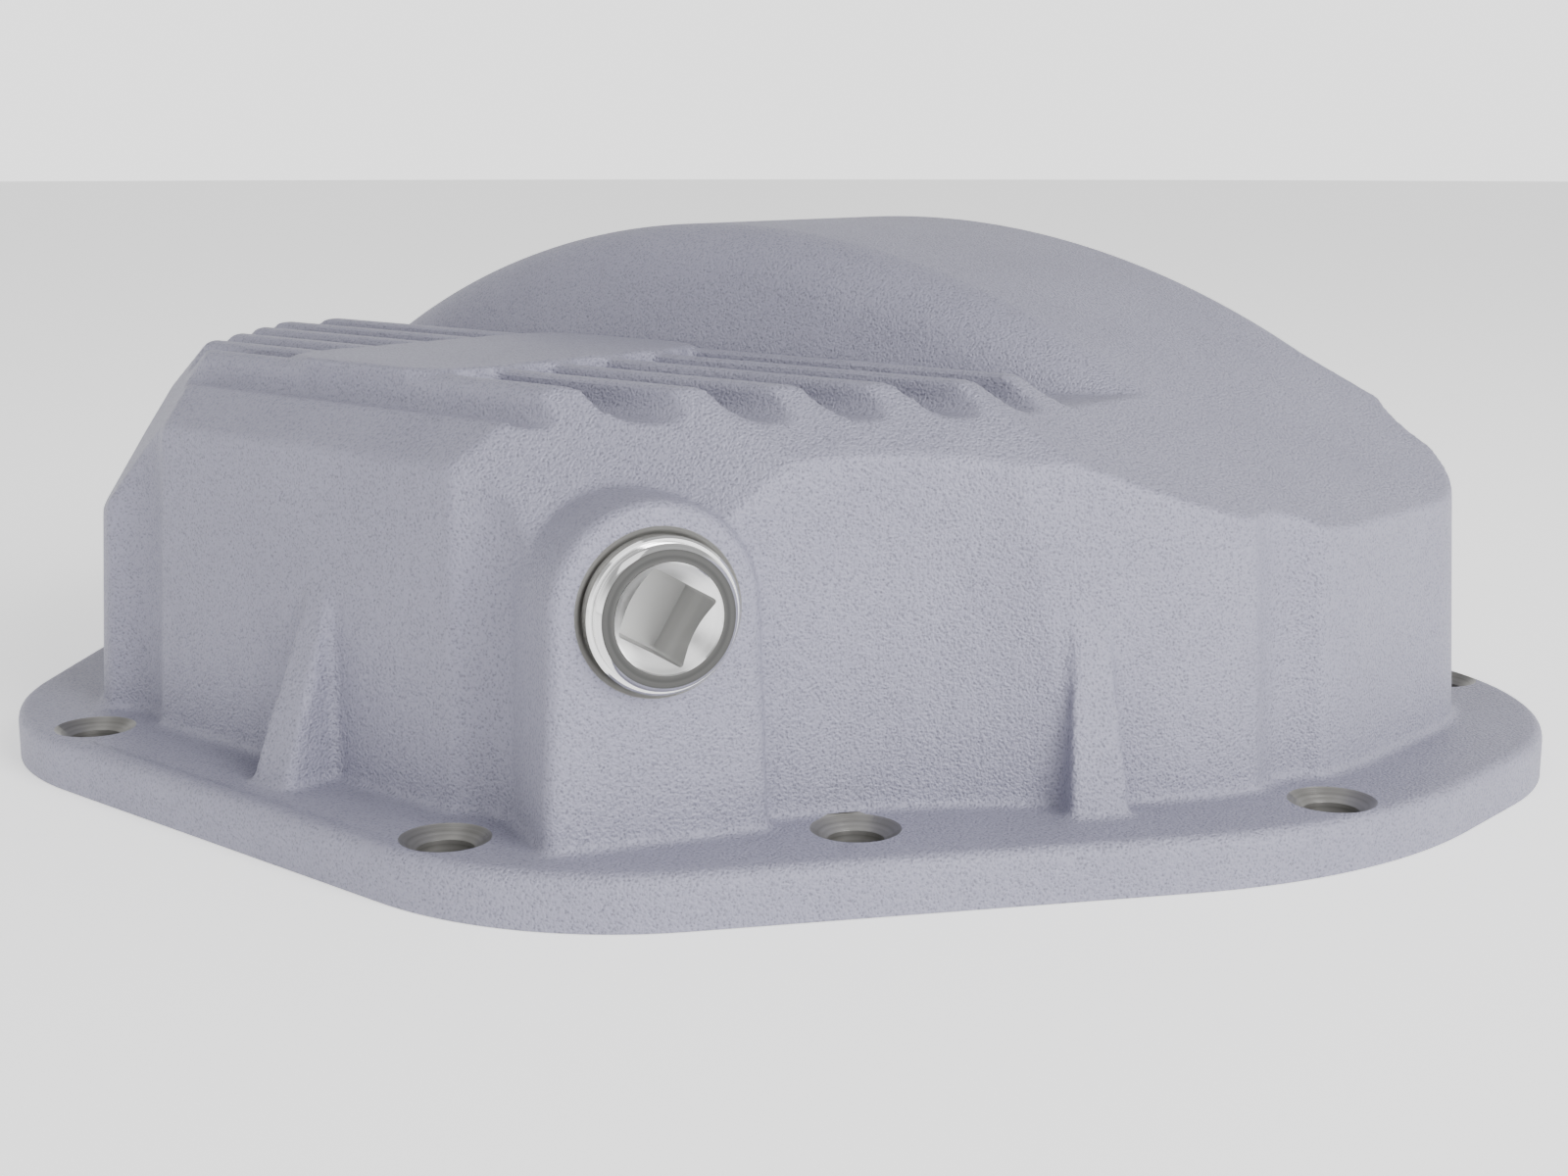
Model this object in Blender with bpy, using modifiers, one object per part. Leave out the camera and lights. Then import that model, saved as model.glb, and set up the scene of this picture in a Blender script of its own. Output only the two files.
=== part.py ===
"""Finned differential cover for a ten-bolt axle housing, with its screw-in filler plug.

The cover is one casting: a flat bolting flange, drafted walls relieved behind each bolt, a ring-gear
dome across the cover, a finned deck in front of it and a plug boss on one front corner. The plug is
a turned steel piece, and a rubber ring seals it in the countersink of the boss.

Frame: metres, +Z up, the mating face on z = 0. +X runs along the fins, the deck is towards -Y and
the origin is the middle of the mating face.
"""
import math

import bmesh
import bpy
from mathutils import Matrix, Vector

# Bolting flange: how far each side of its outline stands from the middle, and its corners
FLANGE_THICKNESS = 0.010
FLANGE_EDGE_RADIUS = 0.0024
FRONT_REACH = 0.1419
DIAGONAL_REACH = 0.1494
SIDE_REACH = 0.1724
REAR_DIAGONAL_REACH = 0.1442
REAR_SETBACK = 0.0023
REAR_REACH = REAR_DIAGONAL_REACH - REAR_SETBACK
DIAGONAL_AZIMUTH = -37.0
REAR_DIAGONAL_AZIMUTH = 65.0

# Roundness of the corners: how much of the shorter of its two sides each rounding takes up
FRONT_CORNER_SHARE = 0.3820
SIDE_CORNER_SHARE = 0.3531
REAR_SIDE_CORNER_SHARE = 0.4153
REAR_CORNER_SHARE = 0.6248
WALL_FRONT_CORNER_SHARE = 0.1279
WALL_SIDE_CORNER_SHARE = 0.3552
WALL_REAR_SIDE_CORNER_SHARE = 0.2589
WALL_REAR_CORNER_SHARE = 0.5736

# Casting section
SHELF_WIDTH = 0.020
WALL_THICKNESS = 0.006
WALL_DRAFT = 3.0
WALL_TOP = 0.0712
ROOF_SLOPE = 38.0
CORNER_FACET_AZIMUTH = -56.0
CORNER_FACET_SLOPE = 55.0
CORNER_FACET_SETBACK = 0.0144

# Ring-gear dome: a cylinder across the cover, with straight shoulders tangent to it
DOME_TOP = 0.1086
DOME_RADIUS = 0.220
SHOULDER_ANGLE = 30.0
DOME_FRONT_Y = 0.0
DOME_REAR_Y = 0.0667
DOME_EDGE_RADIUS = 0.016
DOME_FACE_LEAN = 20.0
DOME_CREASE_ANGLE = 6.0

# Finned deck
DECK_TOP = 0.0844
FIN_HEIGHT = 0.0056
FIN_COUNT = 6
FIN_PITCH = 0.0137
FIRST_FIN_INSET = 0.0406
GROOVE_WIDTH = 0.007
GROOVE_TAPER = 0.0012

# Plain raised pad on the fins
PAD_WIDTH = 0.051
PAD_LENGTH = 0.074
PAD_X = -0.0016
PAD_INSET = 0.038
PAD_STAND = 0.0009
PAD_CORNER_RADIUS = 0.012

# Bolt holes on the right half: side of the outline, place along it, distance in from its edge. A place
# is measured from the side's first corner, or back from its last one where it is negative; the front
# side starts in the middle of the cover.
RELIEVED_BOLTS = (
    ("front", -0.0258, 0.0106),
    ("diagonal", -0.0027, 0.0153),
    ("rear_diagonal", 0.0374, 0.0095),
    ("rear_diagonal", -0.0218, 0.0107),
)
OPEN_BOLT = ("diagonal", 0.0626, 0.0173)
BOLT_HOLE_RADIUS = 0.005
SPOT_FACE_RADIUS = 0.008
SPOT_FACE_DEPTH = 0.0015
BOLT_RELIEF_RADIUS = 0.0132

# Wide shallow scallop behind the bolt on each diagonal side
SCALLOP_RADIUS = 0.110
SCALLOP_ALONG = 0.0681
SCALLOP_INSET = 0.026

# Gusset ribs between the flange and the walls: side, place along it, reach out of the wall
RIB_PLACES = (
    ("front", 0.0072, 0.0135),
    ("diagonal", -0.0472, 0.008),
)
RIB_FOOT_WIDTH = 0.011
RIB_TIP_WIDTH = 0.004
RIB_HEIGHT = 0.035

# Plug boss, on the right front corner only
BOSS_RADIUS = 0.0188
BOSS_FOOT_WIDTH = 0.041
BOSS_DEPTH = 0.026
BOSS_EDGE_RADIUS = 0.0016
BOSS_AZIMUTH = -27.0
PLUG_ALONG = 0.0285
PLUG_INSET = 0.0159
PLUG_HEIGHT = 0.0499
PORT_RADIUS = 0.0113
COUNTERSINK_RADIUS = 0.0146
COUNTERSINK_ANGLE = 45.0

# Filler plug, measured from the face of its boss, and its sealing ring
CLEARANCE = 0.0004
PLUG_COLLAR_RADIUS = 0.0134
PLUG_COLLAR_HEIGHT = 0.003
PLUG_HEAD_FOOT_RADIUS = 0.0127
PLUG_HEAD_RADIUS = 0.012
PLUG_HEAD_HEIGHT = 0.0053
PLUG_EDGE = 0.0005
PLUG_NECK_RADIUS = 0.0104
PLUG_NECK_LENGTH = 0.0034
PLUG_SHANK_LENGTH = 0.016
DISH_RADIUS = 0.0095
DISH_DEPTH = 0.0034
DRIVE_WIDTH = 0.0127
DRIVE_DEPTH = 0.016
DRIVE_TURN = -30.0
SEAL_SECTION_RADIUS = 0.0008

# Roundness of the meshes
CORNER_STEPS = 8
EDGE_STEPS = 3
RIM_STEPS = 5
DOME_STEPS = 30
BOLT_STEPS = 28
SCALLOP_STEPS = 120
PORT_STEPS = 48
ARCH_STEPS = 18
SEAL_STEPS = 10

# Working sizes of the tools and of their welding
OVERSHOOT = 0.004
SEAT_OVERSHOOT = 0.0002
DISC_MARGIN = 0.010
BLOCK_SIZE = 0.40
MERGE = 0.00001
FLAT_ANGLE = 0.001

SIDES = {
    "front": (-90.0, FRONT_REACH),
    "diagonal": (DIAGONAL_AZIMUTH, DIAGONAL_REACH),
    "side": (0.0, SIDE_REACH),
    "rear_diagonal": (REAR_DIAGONAL_AZIMUTH, REAR_DIAGONAL_REACH),
    "rear": (90.0, REAR_REACH),
}
CORNERS = (("front", "diagonal"), ("diagonal", "side"), ("side", "rear_diagonal"), ("rear_diagonal", "rear"))
FLANGE_SHARES = (FRONT_CORNER_SHARE, SIDE_CORNER_SHARE, REAR_SIDE_CORNER_SHARE, REAR_CORNER_SHARE)
WALL_SHARES = (
    WALL_FRONT_CORNER_SHARE,
    WALL_SIDE_CORNER_SHARE,
    WALL_REAR_SIDE_CORNER_SHARE,
    WALL_REAR_CORNER_SHARE,
)


def clear_scene():
    """Remove whatever the file opens with."""
    for item in list(bpy.data.objects):
        bpy.data.objects.remove(item, do_unlink=True)


def make_collection(name):
    """Return a new collection linked to the scene."""
    collection = bpy.data.collections.new(name)
    bpy.context.scene.collection.children.link(collection)
    return collection


def make_material(name, colour, roughness, metallic):
    """Return a Principled material of one colour."""
    material = bpy.data.materials.new(name)
    material.use_nodes = True
    shader = material.node_tree.nodes["Principled BSDF"]
    shader.inputs["Base Color"].default_value = (*colour, 1.0)
    shader.inputs["Roughness"].default_value = roughness
    shader.inputs["Metallic"].default_value = metallic
    return material


def add_object(name, bm, collection, matrix=None):
    """Turn a bmesh into an object in a collection, with its faces pointing out."""
    if matrix is not None:
        bmesh.ops.transform(bm, matrix=matrix, verts=bm.verts)
    bmesh.ops.recalc_face_normals(bm, faces=bm.faces)
    mesh = bpy.data.meshes.new(name)
    bm.to_mesh(mesh)
    bm.free()
    item = bpy.data.objects.new(name, mesh)
    collection.objects.link(item)
    return item


def boolean(item, tool, operation):
    """Give an object an exact Boolean with a tool that is itself never rendered."""
    tool.hide_render = True
    tool.display_type = "WIRE"
    modifier = item.modifiers.new(tool.name, "BOOLEAN")
    modifier.operation = operation
    modifier.solver = "EXACT"
    modifier.object = tool


def mirror(item):
    """Give an object its twin on the other half of the cover."""
    modifier = item.modifiers.new("mirror", "MIRROR")
    modifier.use_axis = (True, False, False)
    modifier.use_mirror_merge = False


def loft(name, loops, collection):
    """One solid through closed loops of equally many points, capped at both ends."""
    bm = bmesh.new()
    rings = [[bm.verts.new(point) for point in loop] for loop in loops]
    count = len(rings[0])
    for lower, upper in zip(rings, rings[1:]):
        for index in range(count):
            following = (index + 1) % count
            bm.faces.new((lower[index], lower[following], upper[following], upper[index]))
    bm.faces.new(rings[0])
    bm.faces.new(rings[-1])
    return add_object(name, bm, collection)


def extruded(points, bottom, top):
    """Fill a flat outline in the XY plane and make it solid between two heights."""
    curve = bpy.data.curves.new("outline", "CURVE")
    curve.dimensions = "2D"
    curve.fill_mode = "BOTH"
    curve.extrude = (top - bottom) / 2.0
    spline = curve.splines.new("POLY")
    spline.points.add(len(points) - 1)
    for control, (x, y) in zip(spline.points, points):
        control.co = (x, y, 0.0, 1.0)
    spline.use_cyclic_u = True
    drawn = bpy.data.objects.new("outline", curve)
    drawn.location.z = (top + bottom) / 2.0
    bpy.context.scene.collection.objects.link(drawn)
    depsgraph = bpy.context.evaluated_depsgraph_get()
    mesh = bpy.data.meshes.new_from_object(drawn.evaluated_get(depsgraph))
    mesh.transform(drawn.matrix_world)
    bpy.data.objects.remove(drawn, do_unlink=True)
    bpy.data.curves.remove(curve)
    bm = bmesh.new()
    bm.from_mesh(mesh)
    bpy.data.meshes.remove(mesh)
    bmesh.ops.remove_doubles(bm, verts=bm.verts, dist=MERGE)
    bmesh.ops.dissolve_limit(bm, angle_limit=FLAT_ANGLE, verts=bm.verts, edges=bm.edges)
    return bm


def round_rim(bm, height, radius, steps):
    """Round the edges that lie at a height."""
    rim = [edge for edge in bm.edges if all(abs(vert.co.z - height) < MERGE for vert in edge.verts)]
    bmesh.ops.bevel(bm, geom=rim, offset=radius, segments=steps, profile=0.5, affect="EDGES")


def round_upright(bm, radius, steps):
    """Round the edges that stand upright."""
    upright = [edge for edge in bm.edges if (edge.verts[0].co - edge.verts[1].co).xy.length < MERGE]
    bmesh.ops.bevel(bm, geom=upright, offset=radius, segments=steps, profile=0.5, affect="EDGES")


def add_box(bm, low, high):
    """Add a box between two corners and return its vertices."""
    low, high = Vector(low), Vector(high)
    box = bmesh.ops.create_cube(bm, size=1.0)["verts"]
    bmesh.ops.scale(bm, vec=high - low, verts=box)
    bmesh.ops.translate(bm, vec=(low + high) / 2.0, verts=box)
    return box


def add_cone(bm, place, low, low_radius, high, high_radius, steps):
    """Add an upright cone or cylinder over a place, between two heights."""
    matrix = Matrix.Translation((place.x, place.y, (low + high) / 2.0))
    bmesh.ops.create_cone(
        bm,
        cap_ends=True,
        segments=steps,
        radius1=low_radius,
        radius2=high_radius,
        depth=high - low,
        matrix=matrix,
    )


def turned(name, profile, steps, collection, matrix):
    """Turn an outline of radius and height, listed from the top down, about its own Z axis."""
    bm = bmesh.new()
    verts = [bm.verts.new((radius, 0.0, height)) for radius, height in profile]
    for pair in zip(verts, verts[1:]):
        bm.edges.new(pair)
    mesh = bpy.data.meshes.new(name)
    bm.to_mesh(mesh)
    bm.free()
    item = bpy.data.objects.new(name, mesh)
    collection.objects.link(item)
    item.matrix_world = matrix
    screw = item.modifiers.new("screw", "SCREW")
    screw.axis = "Z"
    screw.angle = math.tau
    screw.steps = steps
    screw.render_steps = steps
    screw.use_merge_vertices = True
    screw.merge_threshold = MERGE
    screw.use_smooth_shade = True
    return item


def direction(azimuth):
    """Unit vector of a heading in the XY plane."""
    angle = math.radians(azimuth)
    return Vector((math.cos(angle), math.sin(angle), 0.0))


def mirrored(point):
    """The same point on the other half of the cover."""
    return Vector((-point.x, point.y, point.z))


def corner_point(first, second, inset):
    """Where two neighbouring sides cross when both are moved in by a distance."""
    start, first_reach = SIDES[first]
    end, second_reach = SIDES[second]
    turn = math.radians(end - start)
    along = (second_reach - inset - (first_reach - inset) * math.cos(turn)) / math.sin(turn)
    return direction(start) * (first_reach - inset) + direction(start + 90.0) * along


def side_ends(side, inset):
    """First and last corner of a side moved in by a distance; the middle ends the front and the rear."""
    names = list(SIDES)
    index = names.index(side)
    middle = Vector((0.0, math.copysign(SIDES[side][1] - inset, SIDES[side][0]), 0.0))
    first = corner_point(names[index - 1], side, inset) if index > 0 else middle
    last = corner_point(side, names[index + 1], inset) if index < len(names) - 1 else middle
    return first, last


def side_length(side, inset):
    """Length of a side moved in by a distance, on the right half."""
    first, last = side_ends(side, inset)
    return (last - first).length


def side_along(side, place):
    """Distance along a side, from the foot of its normal, of a place measured from a corner."""
    first, last = side_ends(side, 0.0)
    corner = last if place < 0.0 else first
    return corner.dot(direction(SIDES[side][0] + 90.0)) + place


def side_point(side, place, inset):
    """Point by its place along a side of the outline and its distance in from that side."""
    azimuth, reach = SIDES[side]
    return direction(azimuth) * (reach - inset) + direction(azimuth + 90.0) * side_along(side, place)


def outline(inset, shares, height):
    """Closed outline of the flange, moved in by a distance, with its corners rounded."""
    half = []
    for (first, second), share in zip(CORNERS, shares):
        start, end = SIDES[first][0], SIDES[second][0]
        half_turn = math.radians((end - start) / 2.0)
        shorter = min(side_length(first, inset), side_length(second, inset))
        rounding = share * shorter / math.tan(half_turn)
        reach = rounding / math.cos(half_turn)
        centre = corner_point(first, second, inset) - direction((start + end) / 2.0) * reach
        for step in range(CORNER_STEPS + 1):
            heading = direction(start + (end - start) * step / CORNER_STEPS)
            half.append(centre + heading * rounding + Vector((0.0, 0.0, height)))
    return half + [mirrored(point) for point in reversed(half)]


def wall_inset(height):
    """How far the outer face of the walls stands in from the flange's edge at a height."""
    return SHELF_WIDTH + (height - FLANGE_THICKNESS) * math.tan(math.radians(WALL_DRAFT))


def wall_outline(thickness, height):
    """Outline of the walls at a height, moved in by a thickness."""
    return outline(wall_inset(height) + thickness, WALL_SHARES, height)


def boss_matrix():
    """Frame of the plug: origin on the boss's face, X along it, Y up and Z out of it."""
    outward = direction(BOSS_AZIMUTH)
    along = direction(BOSS_AZIMUTH + 90.0)
    origin = side_point("diagonal", PLUG_ALONG, PLUG_INSET)
    frame = Matrix.Translation((origin.x, origin.y, PLUG_HEIGHT))
    return frame @ Matrix((along, (0.0, 0.0, 1.0), outward)).transposed().to_4x4()


def slice_facet(bm, azimuth, reach, slope, thickness):
    """Cut a facet that passes the wall top's height at a reach and climbs towards the middle."""
    angle = math.radians(slope)
    normal = direction(azimuth) * math.sin(angle) + Vector((0.0, 0.0, math.cos(angle)))
    point = direction(azimuth) * reach + Vector((0.0, 0.0, WALL_TOP)) - normal * thickness
    geometry = list(bm.verts) + list(bm.edges) + list(bm.faces)
    cut = bmesh.ops.bisect_plane(bm, geom=geometry, plane_co=point, plane_no=normal, clear_outer=True)
    rim = [part for part in cut["geom_cut"] if isinstance(part, bmesh.types.BMEdge)]
    bmesh.ops.holes_fill(bm, edges=rim)


def facet_block(name, deck, thickness, collection):
    """Block with a flat deck, cut by the roof's facets over the walls and the front corners."""
    foot = -OVERSHOOT
    bm = bmesh.new()
    bmesh.ops.create_cube(bm, size=1.0)
    bmesh.ops.scale(bm, vec=(BLOCK_SIZE, BLOCK_SIZE, deck - foot), verts=bm.verts)
    bmesh.ops.translate(bm, vec=(0.0, 0.0, (deck + foot) / 2.0), verts=bm.verts)
    inset = wall_inset(WALL_TOP)
    facets = [(SIDES[side][0], SIDES[side][1] - inset, ROOF_SLOPE) for side in SIDES if side != "side"]
    corner = corner_point("front", "diagonal", inset)
    reach = corner.dot(direction(CORNER_FACET_AZIMUTH)) - CORNER_FACET_SETBACK
    facets.append((CORNER_FACET_AZIMUTH, reach, CORNER_FACET_SLOPE))
    for azimuth, reach, slope in facets:
        slice_facet(bm, azimuth, reach, slope, thickness)
        if abs(azimuth) != 90.0:
            slice_facet(bm, 180.0 - azimuth, reach, slope, thickness)
    return add_object(name, bm, collection)


def dome_disc(name, thickness, collection):
    """The dome as a disc turned about its own axis, with rounded rims and leaning end faces."""
    lean = math.radians(DOME_FACE_LEAN)
    crease = math.radians(DOME_CREASE_ANGLE)
    rounding = DOME_EDGE_RADIUS - thickness
    centre = DOME_RADIUS - DOME_EDGE_RADIUS
    rim = []
    for step in range(RIM_STEPS + 1):
        angle = crease + (math.pi / 2.0 - lean - crease) * step / RIM_STEPS
        rim.append((centre + rounding * math.cos(angle), rounding * math.sin(angle)))
    foot = centre / 2.0
    rim.append((foot, rim[-1][1] + (rim[-1][0] - foot) * math.tan(lean)))
    outer = DOME_RADIUS + DISC_MARGIN
    front = [(radius, -DOME_FRONT_Y + reach) for radius, reach in reversed(rim)]
    front.append((outer, front[-1][1]))
    rear = [(radius, -DOME_REAR_Y - reach) for radius, reach in rim]
    rear.insert(0, (outer, rear[0][1]))
    profile = [(0.0, front[0][1]), *front, *rear, (0.0, rear[-1][1])]
    steps = round(DOME_STEPS * 180.0 / SHOULDER_ANGLE)
    axis = Matrix.Translation((0.0, 0.0, DOME_TOP - DOME_RADIUS)) @ Matrix.Rotation(math.pi / 2.0, 4, "X")
    half_step = Matrix.Rotation(math.pi / steps, 4, "Z")
    return turned(name, profile, steps, collection, axis @ half_step)


def roof_arch(name, thickness, collection):
    """Everything under the dome's arc and the shoulders tangent to it, along the whole cover."""
    limit = math.radians(SHOULDER_ANGLE)
    radius = DOME_RADIUS - thickness
    centre = DOME_TOP - DOME_RADIUS
    arc = []
    for step in range(DOME_STEPS + 1):
        angle = limit * (1.0 - 2.0 * step / DOME_STEPS)
        arc.append((radius * math.sin(angle), centre + radius * math.cos(angle)))
    width = SIDE_REACH + OVERSHOOT
    shoulder = arc[0][1] - (width - arc[0][0]) * math.tan(limit)
    section = [(width, -OVERSHOOT), (width, shoulder), *arc, (-width, shoulder), (-width, -OVERSHOOT)]
    bm = extruded(section, -BLOCK_SIZE / 2.0, BLOCK_SIZE / 2.0)
    return add_object(name, bm, collection, Matrix.Rotation(math.pi / 2.0, 4, "X"))


def groove_tool(name, collection):
    """Tapered grooves between the fins; the last one runs on under the dome."""
    bm = bmesh.new()
    floor = DECK_TOP - FIN_HEIGHT
    top = DECK_TOP + OVERSHOOT
    spread = GROOVE_TAPER * (top - floor) / FIN_HEIGHT / 2.0
    for index in range(FIN_COUNT + 1):
        middle = FIRST_FIN_INSET - FRONT_REACH + (index - 0.5) * FIN_PITCH
        front = middle - GROOVE_WIDTH / 2.0
        back = middle + GROOVE_WIDTH / 2.0
        if index == FIN_COUNT:
            back = (DOME_FRONT_Y + DOME_REAR_Y) / 2.0
        for vert in add_box(bm, (-BLOCK_SIZE, front, floor), (BLOCK_SIZE, back, top)):
            if vert.co.z > DECK_TOP:
                vert.co.y += math.copysign(spread, vert.co.y - middle)
    return add_object(name, bm, collection)


def shell_block(name, deck, thickness, foot, collection, tools):
    """Drafted block inside the walls, moved in by a thickness and cut to the roof."""
    loops = [wall_outline(thickness, height) for height in (foot, DOME_TOP + OVERSHOOT)]
    block = loft(name, loops, collection)
    roof = facet_block(name + "_facets", deck, thickness, tools)
    if thickness == 0.0:
        boolean(roof, groove_tool(name + "_grooves", tools), "DIFFERENCE")
    boolean(roof, dome_disc(name + "_dome", thickness, tools), "UNION")
    boolean(block, roof_arch(name + "_arch", thickness, tools), "INTERSECT")
    boolean(block, roof, "INTERSECT")
    return block


def bolt_reliefs(name, thickness, foot, tools):
    """Drafted cones that keep the walls clear of the bolt heads."""
    slope = math.tan(math.radians(WALL_DRAFT))
    radii = []
    top = DOME_TOP + OVERSHOOT
    for height in (foot, top):
        radii.append(BOLT_RELIEF_RADIUS + thickness + (height - FLANGE_THICKNESS) * slope)
    bm = bmesh.new()
    for bolt in RELIEVED_BOLTS:
        add_cone(bm, side_point(*bolt), foot, radii[0], top, radii[1], BOLT_STEPS)
    reliefs = add_object(name, bm, tools)
    mirror(reliefs)
    return reliefs


def scallops(name, thickness, foot, tools):
    """Wide cylinders that hollow the diagonal walls out behind their bolts."""
    bm = bmesh.new()
    axis = side_point(OPEN_BOLT[0], SCALLOP_ALONG, SCALLOP_INSET - SCALLOP_RADIUS)
    radius = SCALLOP_RADIUS + thickness
    add_cone(bm, axis, foot, radius, DOME_TOP + OVERSHOOT, radius, SCALLOP_STEPS)
    pair = add_object(name, bm, tools)
    mirror(pair)
    return pair


def flange(tools):
    """Flat flange with a rounded upper edge."""
    bm = extruded([point.xy for point in outline(0.0, FLANGE_SHARES, 0.0)], 0.0, FLANGE_THICKNESS)
    round_rim(bm, FLANGE_THICKNESS, FLANGE_EDGE_RADIUS, EDGE_STEPS)
    return add_object("flange", bm, tools)


def boss(tools):
    """Arched boss that stands out of the corner wall, with a rounded face edge."""
    foot = FLANGE_THICKNESS / 2.0 - PLUG_HEIGHT
    half = BOSS_FOOT_WIDTH / 2.0
    arch = [(-half, foot), (half, foot)]
    for step in range(ARCH_STEPS + 1):
        angle = math.pi * step / ARCH_STEPS
        arch.append((BOSS_RADIUS * math.cos(angle), BOSS_RADIUS * math.sin(angle)))
    bm = extruded(arch, -BOSS_DEPTH, 0.0)
    round_rim(bm, 0.0, BOSS_EDGE_RADIUS, EDGE_STEPS)
    return add_object("boss", bm, tools, boss_matrix())


def rib(side, place, reach, tools):
    """Gusset that runs down a wall onto the flange and narrows upwards."""
    along = side_along(side, place)
    low = FLANGE_THICKNESS / 2.0
    tip = FLANGE_THICKNESS + RIB_HEIGHT
    high = tip + OVERSHOOT
    slope = reach / RIB_HEIGHT
    azimuth, edge = SIDES[side]
    outer = edge - wall_inset(tip)
    inner = outer - WALL_THICKNESS / 2.0
    bm = bmesh.new()
    half = RIB_FOOT_WIDTH / 2.0
    for vert in add_box(bm, (inner, along - half, low), (outer, along + half, high)):
        if vert.co.x > inner + MERGE:
            vert.co.x += (tip - vert.co.z) * slope
        if vert.co.z > FLANGE_THICKNESS:
            vert.co.y = along + math.copysign(RIB_TIP_WIDTH / 2.0, vert.co.y - along)
    return add_object("rib_" + side, bm, tools, Matrix.Rotation(math.radians(azimuth), 4, "Z"))


def pad(tools):
    """Plain raised pad across the fins, with rounded corners."""
    bottom = DECK_TOP - FIN_HEIGHT - WALL_THICKNESS / 2.0
    top = DECK_TOP + PAD_STAND
    front = PAD_INSET - FRONT_REACH
    half = PAD_WIDTH / 2.0
    bm = bmesh.new()
    add_box(bm, (PAD_X - half, front, bottom), (PAD_X + half, front + PAD_LENGTH, top))
    round_upright(bm, PAD_CORNER_RADIUS, CORNER_STEPS)
    round_rim(bm, top, PAD_STAND / 2.0, 1)
    return add_object("pad", bm, tools)


def bolt_holes(tools):
    """Plain bores through the flange, each with a machined conical seat at its top."""
    bm = bmesh.new()
    low = FLANGE_THICKNESS - SPOT_FACE_DEPTH
    high = FLANGE_THICKNESS + SEAT_OVERSHOOT
    flare = (SPOT_FACE_RADIUS - BOLT_HOLE_RADIUS) / SPOT_FACE_DEPTH
    radius = SPOT_FACE_RADIUS + flare * SEAT_OVERSHOOT
    for bolt in (*RELIEVED_BOLTS, OPEN_BOLT):
        add_cone(bm, side_point(*bolt), low, BOLT_HOLE_RADIUS, high, radius, BOLT_STEPS)
    ends = [face for face in bm.faces if face.calc_center_median().z < low + MERGE]
    bores = bmesh.ops.extrude_discrete_faces(bm, faces=ends)["faces"]
    foot = [vert for face in bores for vert in face.verts]
    bmesh.ops.translate(bm, vec=(0.0, 0.0, -OVERSHOOT - low), verts=foot)
    holes = add_object("bolt_holes", bm, tools)
    mirror(holes)
    return holes


def port(tools):
    """Threaded port through the boss, opened by a machined countersink."""
    flare = math.tan(math.radians(COUNTERSINK_ANGLE))
    sink = (COUNTERSINK_RADIUS - PORT_RADIUS) / flare
    profile = [
        (0.0, OVERSHOOT),
        (COUNTERSINK_RADIUS + OVERSHOOT * flare, OVERSHOOT),
        (PORT_RADIUS, -sink),
        (PORT_RADIUS, -BOSS_DEPTH),
        (0.0, -BOSS_DEPTH),
    ]
    return turned("port", profile, PORT_STEPS, tools, boss_matrix())


def cover_casting(collection, tools):
    """The whole casting with its machined holes."""
    middle = FLANGE_THICKNESS / 2.0
    low = -OVERSHOOT * 2.0
    body = shell_block("cover_casting", DECK_TOP, 0.0, middle, collection, tools)
    boolean(body, bolt_reliefs("reliefs", 0.0, low, tools), "DIFFERENCE")
    boolean(body, scallops("scallops", 0.0, low, tools), "DIFFERENCE")
    boolean(body, boss(tools), "UNION")
    boolean(body, flange(tools), "UNION")
    for place in RIB_PLACES:
        gusset = rib(*place, tools)
        if place[0] != "front":
            mirror(gusset)
        boolean(body, gusset, "UNION")
    boolean(body, pad(tools), "UNION")
    ceiling = DECK_TOP - FIN_HEIGHT - WALL_THICKNESS
    hollow = shell_block("hollow", ceiling, WALL_THICKNESS, -OVERSHOOT, tools, tools)
    boolean(hollow, bolt_reliefs("hollow_reliefs", WALL_THICKNESS, low, tools), "DIFFERENCE")
    boolean(hollow, scallops("hollow_scallops", WALL_THICKNESS, low, tools), "DIFFERENCE")
    boolean(body, hollow, "DIFFERENCE")
    boolean(body, bolt_holes(tools), "DIFFERENCE")
    boolean(body, port(tools), "DIFFERENCE")
    return body


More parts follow.
